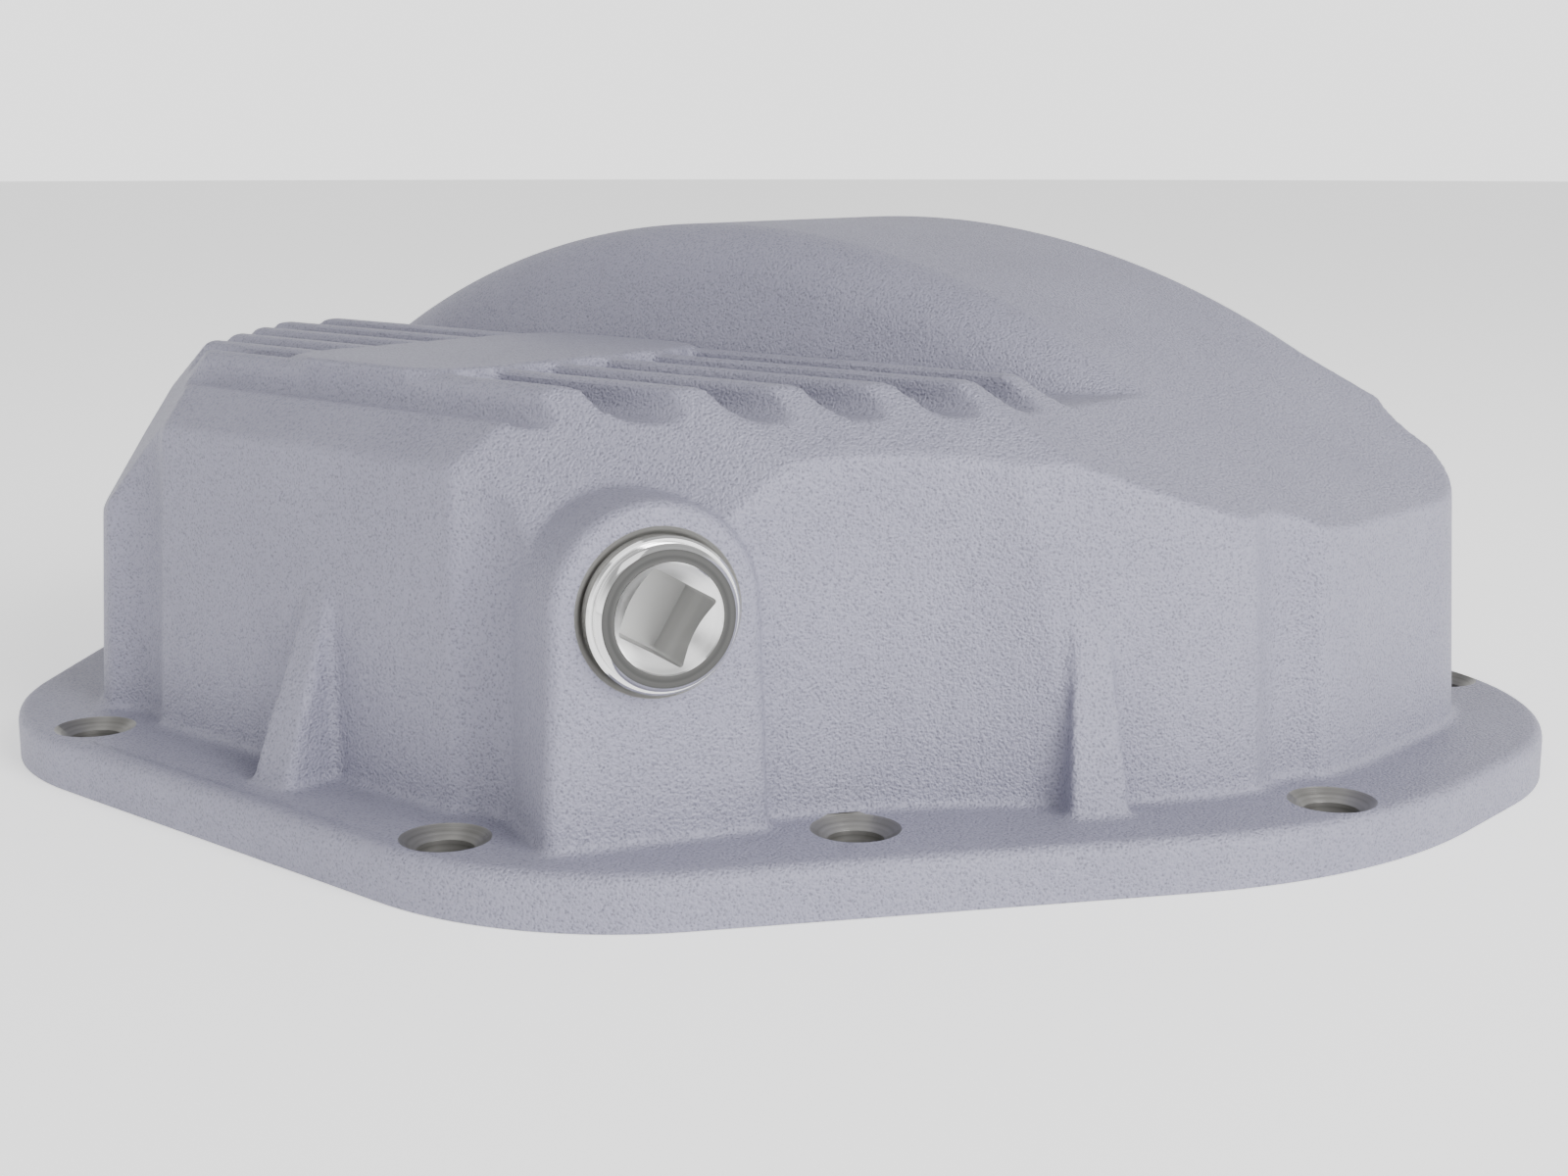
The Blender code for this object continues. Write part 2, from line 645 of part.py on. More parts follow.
def fill_plug(collection, tools):
    """Turned plug: shank, neck for its ring, collar and conical head with a dished square drive."""
    shank = PORT_RADIUS - CLEARANCE
    chamfer = shank - PLUG_NECK_RADIUS
    profile = [
        (0.0, PLUG_HEAD_HEIGHT - DISH_DEPTH),
        (DISH_RADIUS - DISH_DEPTH, PLUG_HEAD_HEIGHT - DISH_DEPTH),
        (DISH_RADIUS, PLUG_HEAD_HEIGHT),
        (PLUG_HEAD_RADIUS - PLUG_EDGE, PLUG_HEAD_HEIGHT),
        (PLUG_HEAD_RADIUS, PLUG_HEAD_HEIGHT - PLUG_EDGE),
        (PLUG_HEAD_FOOT_RADIUS, PLUG_COLLAR_HEIGHT),
        (PLUG_COLLAR_RADIUS - PLUG_EDGE, PLUG_COLLAR_HEIGHT),
        (PLUG_COLLAR_RADIUS, PLUG_COLLAR_HEIGHT - PLUG_EDGE),
        (PLUG_COLLAR_RADIUS, 0.0),
        (PLUG_NECK_RADIUS, 0.0),
        (PLUG_NECK_RADIUS, -PLUG_NECK_LENGTH + chamfer),
        (shank, -PLUG_NECK_LENGTH),
        (shank, -PLUG_SHANK_LENGTH + chamfer),
        (PLUG_NECK_RADIUS, -PLUG_SHANK_LENGTH),
        (0.0, -PLUG_SHANK_LENGTH),
    ]
    plug = turned("fill_plug", profile, PORT_STEPS, collection, boss_matrix())
    drive = bmesh.new()
    half = DRIVE_WIDTH / 2.0
    add_box(drive, (-half, -half, PLUG_HEAD_HEIGHT - DRIVE_DEPTH), (half, half, PLUG_HEAD_HEIGHT + OVERSHOOT))
    frame = boss_matrix() @ Matrix.Rotation(math.radians(DRIVE_TURN), 4, "Z")
    boolean(plug, add_object("drive", drive, tools, frame), "DIFFERENCE")
    return plug


def plug_seal(collection):
    """Rubber ring around the neck of the plug, inside the countersink."""
    bpy.ops.mesh.primitive_torus_add(
        major_radius=PLUG_NECK_RADIUS + CLEARANCE + SEAL_SECTION_RADIUS,
        minor_radius=SEAL_SECTION_RADIUS,
        major_segments=PORT_STEPS,
        minor_segments=SEAL_STEPS,
    )
    seal = bpy.context.object
    for holder in list(seal.users_collection):
        holder.objects.unlink(seal)
    collection.objects.link(seal)
    seal.name = "plug_seal"
    seal.data.name = "plug_seal"
    seal.data.shade_smooth()
    depth = CLEARANCE + SEAL_SECTION_RADIUS
    seal.matrix_world = boss_matrix() @ Matrix.Translation((0.0, 0.0, -depth))
    return seal


def build():
    """Build the cover, its plug and its ring."""
    clear_scene()
    parts = make_collection("differential_cover")
    tools = make_collection("tools")
    aluminium = make_material("cast_aluminium", (0.62, 0.61, 0.66), 0.62, 0.6)
    steel = make_material("polished_steel", (0.72, 0.72, 0.74), 0.18, 1.0)
    rubber = make_material("black_rubber", (0.02, 0.02, 0.02), 0.7, 0.0)
    cover_casting(parts, tools).data.materials.append(aluminium)
    fill_plug(parts, tools).data.materials.append(steel)
    plug_seal(parts).data.materials.append(rubber)


build()
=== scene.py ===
"""Studio scene of a finned axle differential cover with its screw-in filler plug.

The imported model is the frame: metres, +Z up, the mating face on z = 0, +X along the fins and the finned
deck towards -Y. The casting is modelled as one soft-edged body, then its holes and its mating face are
machined into it. The plug is turned and its rubber ring sits in the countersink of the boss.
"""

from __future__ import annotations

import logging
import math
from dataclasses import dataclass, field
from enum import Enum

import bmesh
import bpy
from mathutils import Matrix, Vector

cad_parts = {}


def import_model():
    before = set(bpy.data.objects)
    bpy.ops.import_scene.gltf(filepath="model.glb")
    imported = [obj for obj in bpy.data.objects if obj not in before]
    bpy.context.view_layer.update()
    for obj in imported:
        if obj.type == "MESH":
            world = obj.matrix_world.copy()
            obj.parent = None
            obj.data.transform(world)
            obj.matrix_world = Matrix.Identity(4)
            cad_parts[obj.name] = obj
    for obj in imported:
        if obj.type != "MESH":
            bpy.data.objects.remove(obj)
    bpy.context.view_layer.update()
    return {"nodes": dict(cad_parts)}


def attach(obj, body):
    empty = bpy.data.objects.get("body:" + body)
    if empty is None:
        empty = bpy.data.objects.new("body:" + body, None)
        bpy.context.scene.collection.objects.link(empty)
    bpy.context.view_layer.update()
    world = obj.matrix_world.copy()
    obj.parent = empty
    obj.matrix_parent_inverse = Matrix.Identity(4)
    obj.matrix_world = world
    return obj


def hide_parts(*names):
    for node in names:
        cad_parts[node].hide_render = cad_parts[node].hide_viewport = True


LOG = logging.getLogger("differential_cover")
WELD = 0.00001
FACING = 0.99
ARC_STEPS = 60
BOSS_STEPS = 40
RIM_STEPS = 12
DOME_STEPS = 360
RELIEF_STEPS = 64
SCALLOP_STEPS = 240
BORE_STEPS = 64
PORT_STEPS = 128
EDGE_STEPS = 5
PAD_STEPS = 10

Colour = tuple[float, float, float]


class Side(Enum):
    """Sides of the right half of the outline: azimuth of the outward normal, reach from the middle."""

    FRONT = (-90.0, 0.1419)
    DIAGONAL = (-37.0, 0.1494)
    FLANK = (0.0, 0.1724)
    REAR_DIAGONAL = (65.0, 0.1442)
    REAR = (90.0, 0.1419)

    @property
    def azimuth(self) -> float:
        """Azimuth of the outward normal in degrees."""
        return self.value[0]

    @property
    def reach(self) -> float:
        """Distance from the middle in metres."""
        return self.value[1]


class Combine(Enum):
    """Ways to combine two solids."""

    JOIN = "UNION"
    CUT = "DIFFERENCE"
    COMMON = "INTERSECT"


def heading(azimuth: float) -> Vector:
    """Give the unit vector of an azimuth in the XY plane.

    Args:
        azimuth: Angle from +X in degrees.

    Returns:
        The unit vector.
    """
    angle = math.radians(azimuth)
    return Vector((math.cos(angle), math.sin(angle), 0.0))


class Bench:
    """Solids made with bmesh operators and combined with modifiers."""

    @staticmethod
    def place(name: str, bm: bmesh.types.BMesh, matrix: Matrix | None = None) -> bpy.types.Object:
        """Turn a bmesh into an object whose faces point out.

        Args:
            name: Name of the object.
            bm: The bmesh, which is freed.
            matrix: Transform that goes into the mesh.

        Returns:
            The new object, at the origin.
        """
        if matrix is not None:
            bmesh.ops.transform(bm, matrix=matrix, verts=bm.verts)
        bmesh.ops.recalc_face_normals(bm, faces=bm.faces)
        mesh = bpy.data.meshes.new(name)
        bm.to_mesh(mesh)
        bm.free()
        item = bpy.data.objects.new(name, mesh)
        bpy.context.scene.collection.objects.link(item)
        return item

    @staticmethod
    def combine(body: bpy.types.Object, tool: bpy.types.Object, how: Combine) -> None:
        """Combine a body with a tool, bake the result into the body and remove the tool.

        Args:
            body: Object that is changed.
            tool: Object that is used up.
            how: Way to combine the two.
        """
        modifier = body.modifiers.new("combine", "BOOLEAN")
        modifier.operation = how.value
        modifier.solver = "EXACT"
        modifier.material_mode = "TRANSFER"
        modifier.object = tool
        Bench.bake(body)
        bpy.data.objects.remove(tool, do_unlink=True)

    @staticmethod
    def bake(item: bpy.types.Object) -> None:
        """Replace an object's mesh by what its modifiers make of it.

        Args:
            item: Object whose modifiers are used up.
        """
        depsgraph = bpy.context.evaluated_depsgraph_get()
        mesh = bpy.data.meshes.new_from_object(item.evaluated_get(depsgraph))
        item.modifiers.clear()
        item.data = mesh

    @staticmethod
    def skin(loops: list[list[Vector]]) -> bmesh.types.BMesh:
        """Bridge closed loops in order and cap both ends.

        Args:
            loops: Closed loops of equally many points.

        Returns:
            A closed bmesh.
        """
        bm = bmesh.new()
        rings = []
        for loop in loops:
            verts = [bm.verts.new(point) for point in loop]
            rings.append([bm.edges.new(pair) for pair in zip(verts, verts[1:] + verts[:1])])
        for lower, upper in zip(rings, rings[1:]):
            bmesh.ops.bridge_loops(bm, edges=lower + upper)
        bmesh.ops.edgeloop_fill(bm, edges=rings[0])
        bmesh.ops.edgeloop_fill(bm, edges=rings[-1])
        return bm

    @staticmethod
    def box(bm: bmesh.types.BMesh, low: Vector, high: Vector) -> list[bmesh.types.BMVert]:
        """Add a box between two corners.

        Args:
            bm: The bmesh that takes the box.
            low: Lowest corner.
            high: Highest corner.

        Returns:
            The vertices of the box.
        """
        verts = bmesh.ops.create_cube(bm, size=1.0)["verts"]
        bmesh.ops.scale(bm, vec=high - low, verts=verts)
        bmesh.ops.translate(bm, vec=(low + high) / 2.0, verts=verts)
        return verts

    @staticmethod
    def turn(
        bm: bmesh.types.BMesh,
        profile: list[tuple[float, float]],
        steps: int,
        matrix: Matrix,
    ) -> None:
        """Spin an open profile that starts and ends on its axis, or a closed one beside it.

        Args:
            bm: The bmesh that takes the turned solid.
            profile: Radius and height of each point.
            steps: Steps of a full turn.
            matrix: Place of the solid, whose own axis is Z.
        """
        verts = [bm.verts.new((radius, 0.0, height)) for radius, height in profile]
        edges = [bm.edges.new(pair) for pair in zip(verts, verts[1:])]
        if profile[0][0] > 0.0:
            edges.append(bm.edges.new((verts[-1], verts[0])))
        known = set(bm.verts) - set(verts)
        bmesh.ops.spin(
            bm,
            geom=verts + edges,
            axis=(0.0, 0.0, 1.0),
            cent=(0.0, 0.0, 0.0),
            angle=math.tau,
            steps=steps,
            use_merge=True,
        )
        fresh = [vert for vert in bm.verts if vert not in known]
        bmesh.ops.remove_doubles(bm, verts=fresh, dist=WELD)
        fresh = [vert for vert in bm.verts if vert not in known]
        bmesh.ops.transform(bm, matrix=matrix, verts=fresh)

    @staticmethod
    def round_edges(
        bm: bmesh.types.BMesh,
        edges: list[bmesh.types.BMEdge],
        radius: float,
        steps: int,
    ) -> None:
        """Round edges of a bmesh.

        Args:
            bm: The bmesh.
            edges: Edges to round.
            radius: Width of the bevel.
            steps: Segments of the bevel.
        """
        bmesh.ops.bevel(
            bm,
            geom=edges,
            offset=radius,
            segments=steps,
            profile=0.5,
            affect="EDGES",
            material=-1,
        )

    @staticmethod
    def at_height(bm: bmesh.types.BMesh, height: float) -> list[bmesh.types.BMEdge]:
        """List the edges whose both ends lie at a height."""
        return [edge for edge in bm.edges if all(abs(vert.co.z - height) < WELD for vert in edge.verts)]


@dataclass(frozen=True)
class Outline:
    """Plan of the cover: a many-sided outline, the same on both halves, with rounded corners.

    Attributes:
        flange_shares: Share of the shorter side that each rounding of the flange takes, front to rear.
        wall_shares: The same for the walls.
        shelf: Width of the flange outside the walls.
        draft: Lean of the walls in degrees.
        flange_top: Height of the flange's upper face.
        steps: Steps of each rounded corner.
    """

    flange_shares: tuple[float, ...] = (0.3820, 0.3531, 0.4153, 0.6248)
    wall_shares: tuple[float, ...] = (0.1279, 0.3552, 0.2589, 0.5736)
    shelf: float = 0.020
    draft: float = 3.0
    flange_top: float = 0.010
    steps: int = 20

    def point(self, side: Side, along: float, inset: float) -> Vector:
        """Find a point by its place on a side.

        Args:
            side: Side of the outline.
            along: Distance along the side from the foot of its normal.
            inset: Distance in from the edge.

        Returns:
            The point, at height zero.
        """
        return heading(side.azimuth) * (side.reach - inset) + heading(side.azimuth + 90.0) * along

    def corner(self, first: Side, second: Side, inset: float) -> Vector:
        """Find where two neighbouring sides cross.

        Args:
            first: One side.
            second: The next side, turning to the left.
            inset: Distance that both sides are moved in.

        Returns:
            The crossing point, at height zero.
        """
        turn = math.radians(second.azimuth - first.azimuth)
        near, far = first.reach - inset, second.reach - inset
        return self.point(first, (far - near * math.cos(turn)) / math.sin(turn), inset)

    def loop(self, inset: float, shares: tuple[float, ...], height: float) -> list[Vector]:
        """Draw the closed outline at a height.

        Args:
            inset: Distance in from the edge of the flange.
            shares: Share of the shorter side that each rounding of the right half takes.
            height: Height of the loop.

        Returns:
            The points of the loop.
        """
        sides = list(Side)
        corners = [self.corner(first, second, inset) for first, second in zip(sides, sides[1:])]
        ends = [Vector((0.0, corners[0].y, 0.0)), *corners, Vector((0.0, corners[-1].y, 0.0))]
        lengths = [(end - start).length for start, end in zip(ends, ends[1:])]
        half = []
        for index, share in enumerate(shares):
            start, end = sides[index].azimuth, sides[index + 1].azimuth
            half_turn = math.radians((end - start) / 2.0)
            radius = share * min(lengths[index], lengths[index + 1]) / math.tan(half_turn)
            centre = corners[index] - heading((start + end) / 2.0) * (radius / math.cos(half_turn))
            for step in range(self.steps + 1):
                spoke = heading(start + (end - start) * step / self.steps) * radius
                half.append(centre + spoke + Vector((0.0, 0.0, height)))
        return half + [Vector((-point.x, point.y, point.z)) for point in reversed(half)]

    def wall_inset(self, height: float) -> float:
        """Give the distance from the flange's edge to the outer face of the walls at a height."""
        return self.shelf + (height - self.flange_top) * math.tan(math.radians(self.draft))

    def wall_loop(self, thickness: float, height: float) -> list[Vector]:
        """Draw the outline of the walls, moved in by a thickness, at a height."""
        return self.loop(self.wall_inset(height) + thickness, self.wall_shares, height)


@dataclass(frozen=True)
class PlugPlace:
    """Where the plug sits: its boss on the right diagonal side.

    Attributes:
        azimuth: Azimuth of the plug's axis in degrees.
        along: Place along the diagonal side.
        inset: Distance of the boss's face from the flange's edge.
        height: Height of the axis.
    """

    azimuth: float = -27.0
    along: float = -0.0366
    inset: float = 0.0159
    height: float = 0.0499

    def matrix(self, outline: Outline) -> Matrix:
        """Give the plug's frame: origin on the boss's face, X along it, Y up, Z out of it."""
        origin = outline.point(Side.DIAGONAL, self.along, self.inset)
        place = Matrix.Translation((origin.x, origin.y, self.height))
        axes = Matrix((heading(self.azimuth + 90.0), (0.0, 0.0, 1.0), heading(self.azimuth)))
        return place @ axes.transposed().to_4x4()


@dataclass
class Roof:
    """Top of the cover: finned deck, sloping facets, ring-gear dome and its shoulders.

    Attributes hold the sizes in metres and the angles in degrees.
    """

    outline: Outline
    wall_top: float = 0.0712
    slope: float = 38.0
    corner_azimuth: float = -56.0
    corner_slope: float = 55.0
    corner_setback: float = 0.0144
    deck: float = 0.0844
    fin_height: float = 0.0056
    fins: int = 6
    pitch: float = 0.0137
    first_fin: float = 0.0406
    groove_width: float = 0.0076
    groove_taper: float = 0.0012
    groove_round: float = 0.0026
    first_lip: float = 0.0030
    first_sink: float = 0.0012
    first_round: float = 0.0012
    dome_top: float = 0.1086
    dome_radius: float = 0.220
    dome_front: float = 0.0
    dome_rear: float = 0.0667
    dome_edge: float = 0.016
    dome_lean: float = 20.0
    dome_crease: float = 6.0
    shoulder: float = 30.0
    block: float = 0.40
    spare: float = 0.004
    disc_margin: float = 0.010

    def facets(self) -> list[tuple[float, float, float]]:
        """List the azimuth, reach at the wall top and slope of each facet of the right half."""
        inset = self.outline.wall_inset(self.wall_top)
        planes = [(side.azimuth, side.reach - inset, self.slope) for side in Side if side is not Side.FLANK]
        corner = self.outline.corner(Side.FRONT, Side.DIAGONAL, inset)
        reach = corner.dot(heading(self.corner_azimuth)) - self.corner_setback
        planes.append((self.corner_azimuth, reach, self.corner_slope))
        return planes

    def slice(
        self,
        bm: bmesh.types.BMesh,
        azimuth: float,
        reach: float,
        slope: float,
        thickness: float,
    ) -> None:
        """Cut one facet off a block.

        Args:
            bm: The block.
            azimuth: Azimuth that the facet faces.
            reach: Reach of the facet at the height of the wall top.
            slope: Slope of the facet.
            thickness: Distance that the facet is moved in.
        """
        angle = math.radians(slope)
        normal = heading(azimuth) * math.sin(angle) + Vector((0.0, 0.0, math.cos(angle)))
        point = heading(azimuth) * reach + Vector((0.0, 0.0, self.wall_top)) - normal * thickness
        geometry = list(bm.verts) + list(bm.edges) + list(bm.faces)
        cut = bmesh.ops.bisect_plane(bm, geom=geometry, plane_co=point, plane_no=normal, clear_outer=True)
        rim = [part for part in cut["geom_cut"] if isinstance(part, bmesh.types.BMEdge)]
        bmesh.ops.holes_fill(bm, edges=rim)

    def deck_block(self, thickness: float) -> bpy.types.Object:
        """Build the flat-topped block with all its facets.

        Args:
            thickness: Distance that every face is moved in.

        Returns:
            The block.
        """
        top = self.deck if thickness == 0.0 else self.deck - self.fin_height - thickness
        bm = bmesh.new()
        Bench.box(
            bm,
            Vector((-self.block / 2.0, -self.block / 2.0, -self.spare)),
            Vector((self.block / 2.0, self.block / 2.0, top)),
        )
        for azimuth, reach, slope in self.facets():
            self.slice(bm, azimuth, reach, slope, thickness)
            if abs(azimuth) != 90.0:
                self.slice(bm, 180.0 - azimuth, reach, slope, thickness)
        return Bench.place("deck", bm)

    def grooves(self) -> bpy.types.Object:
        """Build the round-bottomed grooves between the fins; the last runs on under the dome."""
        bm = bmesh.new()
        floor = self.deck - self.fin_height
        top = self.deck + self.spare
        for index in range(self.fins + 1):
            middle = self.first_fin - Side.FRONT.reach + (index - 0.5) * self.pitch
            front = middle - self.groove_width / 2.0
            back = middle + self.groove_width / 2.0
            level = floor
            if index == 0:
                front += self.first_lip
                level -= self.first_sink
            elif index == self.fins:
                back = (self.dome_front + self.dome_rear) / 2.0
            low = Vector((-self.block, front, level))
            high = Vector((self.block, back, top))
            for vert in Bench.box(bm, low, high):
                if vert.co.z > self.deck:
                    vert.co.y += math.copysign(self.groove_taper, vert.co.y - middle)
        for level, radius in ((floor, self.groove_round), (floor - self.first_sink, self.first_round)):
            floors = [edge for edge in Bench.at_height(bm, level) if self._runs_along(edge)]
            Bench.round_edges(bm, floors, radius, EDGE_STEPS)
        return Bench.place("grooves", bm)

    def _runs_along(self, edge: bmesh.types.BMEdge) -> bool:
        """Tell whether an edge runs along the fins."""
        return abs(edge.verts[0].co.x - edge.verts[1].co.x) > self.block

    def dome(self, thickness: float) -> bpy.types.Object:
        """Build the dome as a turned disc on edge, with rounded rims and leaning faces.

        Args:
            thickness: Distance that every face is moved in.

        Returns:
            The disc.
        """
        lean = math.radians(self.dome_lean)
        crease = math.radians(self.dome_crease)
        rounding = self.dome_edge - thickness
        centre = self.dome_radius - self.dome_edge
        rim = []
        for step in range(RIM_STEPS + 1):
            angle = crease + (math.pi / 2.0 - lean - crease) * step / RIM_STEPS
            rim.append((centre + rounding * math.cos(angle), rounding * math.sin(angle)))
        foot = centre / 2.0
        rim.append((foot, rim[-1][1] + (rim[-1][0] - foot) * math.tan(lean)))
        outer = self.dome_radius + self.disc_margin
        front = [(radius, -self.dome_front + reach) for radius, reach in reversed(rim)]
        front.append((outer, front[-1][1]))
        rear = [(radius, -self.dome_rear - reach) for radius, reach in rim]
        rear.insert(0, (outer, rear[0][1]))
        profile = [(0.0, front[0][1]), *front, *rear, (0.0, rear[-1][1])]
        axis = Matrix.Translation((0.0, 0.0, self.dome_top - self.dome_radius))
        bm = bmesh.new()
        Bench.turn(bm, profile, DOME_STEPS, axis @ Matrix.Rotation(math.pi / 2.0, 4, "X"))
        return Bench.place("dome", bm)

    def arch(self, thickness: float) -> bpy.types.Object:
        """Build everything under the dome's arc and the straight shoulders tangent to it.

        Args:
            thickness: Distance that the arch is moved in.

        Returns:
            The arch, along the whole cover.
        """
        limit = math.radians(self.shoulder)
        radius = self.dome_radius - thickness
        centre = self.dome_top - self.dome_radius
        width = Side.FLANK.reach + self.spare
        arc = []
        for step in range(ARC_STEPS + 1):
            angle = limit * (1.0 - 2.0 * step / ARC_STEPS)
            arc.append((radius * math.sin(angle), centre + radius * math.cos(angle)))
        low = arc[0][1] - (width - arc[0][0]) * math.tan(limit)
        section = [(width, -self.spare), (width, low), *arc, (-width, low), (-width, -self.spare)]
        ends = [[Vector((x, y, z)) for x, z in section] for y in (-self.block / 2.0, self.block / 2.0)]
        return Bench.place("arch", Bench.skin(ends))


@dataclass
class Casting:
    """The cast cover: flange, walls, roof, boss, ribs and pad in one body, with machined holes.

    Attributes hold the sizes in metres; places are side, along and inset on the outline.
    """

    outline: Outline
    roof: Roof
    plug: PlugPlace
    wall: float = 0.006
    flange_edge: float = 0.0022
    boss_radius: float = 0.0188
    boss_foot: float = 0.041
    boss_depth: float = 0.026
    boss_edge: float = 0.0026
    rib_foot: float = 0.0115
    rib_tip: float = 0.0056
    rib_height: float = 0.036
    ribs: tuple[tuple[Side, float, float], ...] = (
        (Side.FRONT, 0.0072, 0.0138),
        (Side.DIAGONAL, 0.041, 0.0085),
    )
    pad_width: float = 0.051
    pad_length: float = 0.074
    pad_x: float = -0.0016
    pad_inset: float = 0.038
    pad_stand: float = 0.0009
    pad_corner: float = 0.012
    relieved: tuple[tuple[Side, float, float], ...] = (
        (Side.FRONT, 0.0543, 0.0106),
        (Side.DIAGONAL, 0.0855, 0.0153),
        (Side.REAR_DIAGONAL, -0.0856, 0.0095),
        (Side.REAR_DIAGONAL, 0.0047, 0.0107),
    )
    open_bolt: tuple[Side, float, float] = (Side.DIAGONAL, -0.0025, 0.0173)
    relief: float = 0.0132
    scallop: float = 0.110
    scallop_along: float = 0.003
    scallop_inset: float = 0.026
    bore: float = 0.005
    seat: float = 0.008
    seat_depth: float = 0.0015
    port: float = 0.0113
    countersink: float = 0.0146
    spare: float = 0.006
    seat_edge: float = 0.0006
    seat_flare: float = 0.4
    seat_lift: float = 0.0004
    below_fins: float = 0.0015
    behind_fins: float = 0.002
    outer_voxel: float = 0.0009
    inner_voxel: float = 0.0028
    outer_triangles: int = 140000
    soft_rounds: int = 2
    fin_rounds: int = 1
    inner_rounds: int = 4
    sharp: float = 38.0

    def places(self, bolts: tuple[tuple[Side, float, float], ...]) -> list[Vector]:
        """Give the centres of bolts on both halves.

        Args:
            bolts: Places on the right half.

        Returns:
            The centres, at height zero.
        """
        right = [self.outline.point(*bolt) for bolt in bolts]
        return right + [Vector((-point.x, point.y, 0.0)) for point in right]

    def blank(self, thickness: float, foot: float) -> bpy.types.Object:
        """Build the drafted block under the roof, relieved behind the bolts.

        Args:
            thickness: Distance that every face is moved in.
            foot: Height of the underside.

        Returns:
            The block.
        """
        top = self.roof.dome_top + self.spare
        loops = [self.outline.wall_loop(thickness, height) for height in (foot, top)]
        body = Bench.place("block", Bench.skin(loops))
        deck = self.roof.deck_block(thickness)
        if thickness == 0.0:
            Bench.combine(deck, self.roof.grooves(), Combine.CUT)
        Bench.combine(deck, self.roof.dome(thickness), Combine.JOIN)
        Bench.combine(body, self.roof.arch(thickness), Combine.COMMON)
        Bench.combine(body, deck, Combine.COMMON)
        slope = math.tan(math.radians(self.outline.draft))
        low = -2.0 * self.spare
        for centre in self.places(self.relieved):
            radii = [self.relief + thickness + (z - self.outline.flange_top) * slope for z in (low, top)]
            Bench.combine(body, self.cone(centre, low, radii[0], top, radii[1], RELIEF_STEPS), Combine.CUT)
        axis = self.outline.point(Side.DIAGONAL, self.scallop_along, self.scallop_inset - self.scallop)
        wide = self.scallop + thickness
        for centre in (axis, Vector((-axis.x, axis.y, 0.0))):
            Bench.combine(body, self.cone(centre, low, wide, top, wide, SCALLOP_STEPS), Combine.CUT)
        return body

    def cone(
        self,
        centre: Vector,
        low: float,
        low_radius: float,
        high: float,
        high_radius: float,
        steps: int,
    ) -> bpy.types.Object:
        """Build an upright cone between two heights.

        Args:
            centre: Centre in plan.
            low: Lower height.
            low_radius: Radius at the lower height.
            high: Upper height.
            high_radius: Radius at the upper height.
            steps: Sides of the cone.

        Returns:
            The cone.
        """
        bm = bmesh.new()
        bmesh.ops.create_cone(
            bm,
            cap_ends=True,
            segments=steps,
            radius1=low_radius,
            radius2=high_radius,
            depth=high - low,
            matrix=Matrix.Translation((centre.x, centre.y, (low + high) / 2.0)),
        )
        return Bench.place("cone", bm)

    def flange(self) -> bpy.types.Object:
        """Build the flange with a rounded upper edge, run on below the mating face."""
        top = self.outline.flange_top
        loops = [self.outline.loop(0.0, self.outline.flange_shares, z) for z in (-self.spare, top)]
        bm = Bench.skin(loops)
        Bench.round_edges(bm, Bench.at_height(bm, top), self.flange_edge, EDGE_STEPS)
        return Bench.place("flange", bm)

    def boss(self) -> bpy.types.Object:
        """Build the arched boss with its rounded face."""
        foot = self.outline.flange_top / 2.0 - self.plug.height
        half = self.boss_foot / 2.0
        arch = [(-half, foot), (half, foot)]
        for step in range(BOSS_STEPS + 1):
            angle = math.pi * step / BOSS_STEPS
            arch.append((self.boss_radius * math.cos(angle), self.boss_radius * math.sin(angle)))
        ends = [[Vector((x, y, z)) for x, y in arch] for z in (-self.boss_depth, 0.0)]
        bm = Bench.skin(ends)
        Bench.round_edges(bm, Bench.at_height(bm, 0.0), self.boss_edge, EDGE_STEPS)
        return Bench.place("boss", bm, self.plug.matrix(self.outline))

    def rib(self, side: Side, along: float, reach: float) -> bpy.types.Object:
        """Build a gusset between a wall and the flange.

        Args:
            side: Side of the outline that it stands on.
            along: Place along that side.
            reach: How far its foot stands out of the wall.

        Returns:
            The gusset.
        """
        low = self.outline.flange_top / 2.0
        tip = self.outline.flange_top + self.rib_height
        outer = side.reach - self.outline.wall_inset(tip)
        inner = outer - self.wall / 2.0
        slope = reach / self.rib_height
        half = self.rib_foot / 2.0
        bm = bmesh.new()
        high = tip + self.spare
        for vert in Bench.box(bm, Vector((inner, along - half, low)), Vector((outer, along + half, high))):
            if vert.co.x > inner + WELD:
                vert.co.x += (tip - vert.co.z) * slope
            if vert.co.z > self.outline.flange_top:
                vert.co.y = along + math.copysign(self.rib_tip / 2.0, vert.co.y - along)
        return Bench.place("rib", bm, Matrix.Rotation(math.radians(side.azimuth), 4, "Z"))

    def pad(self) -> bpy.types.Object:
        """Build the plain raised pad across the fins."""
        bottom = self.roof.deck - self.roof.fin_height - self.wall / 2.0
        top = self.roof.deck + self.pad_stand
        front = self.pad_inset - Side.FRONT.reach
        half = self.pad_width / 2.0
        bm = bmesh.new()
        low = Vector((self.pad_x - half, front, bottom))
        high = Vector((self.pad_x + half, front + self.pad_length, top))
        Bench.box(bm, low, high)
        upright = [edge for edge in bm.edges if (edge.verts[0].co - edge.verts[1].co).xy.length < WELD]
        Bench.round_edges(bm, upright, self.pad_corner, PAD_STEPS)
        return Bench.place("pad", bm)

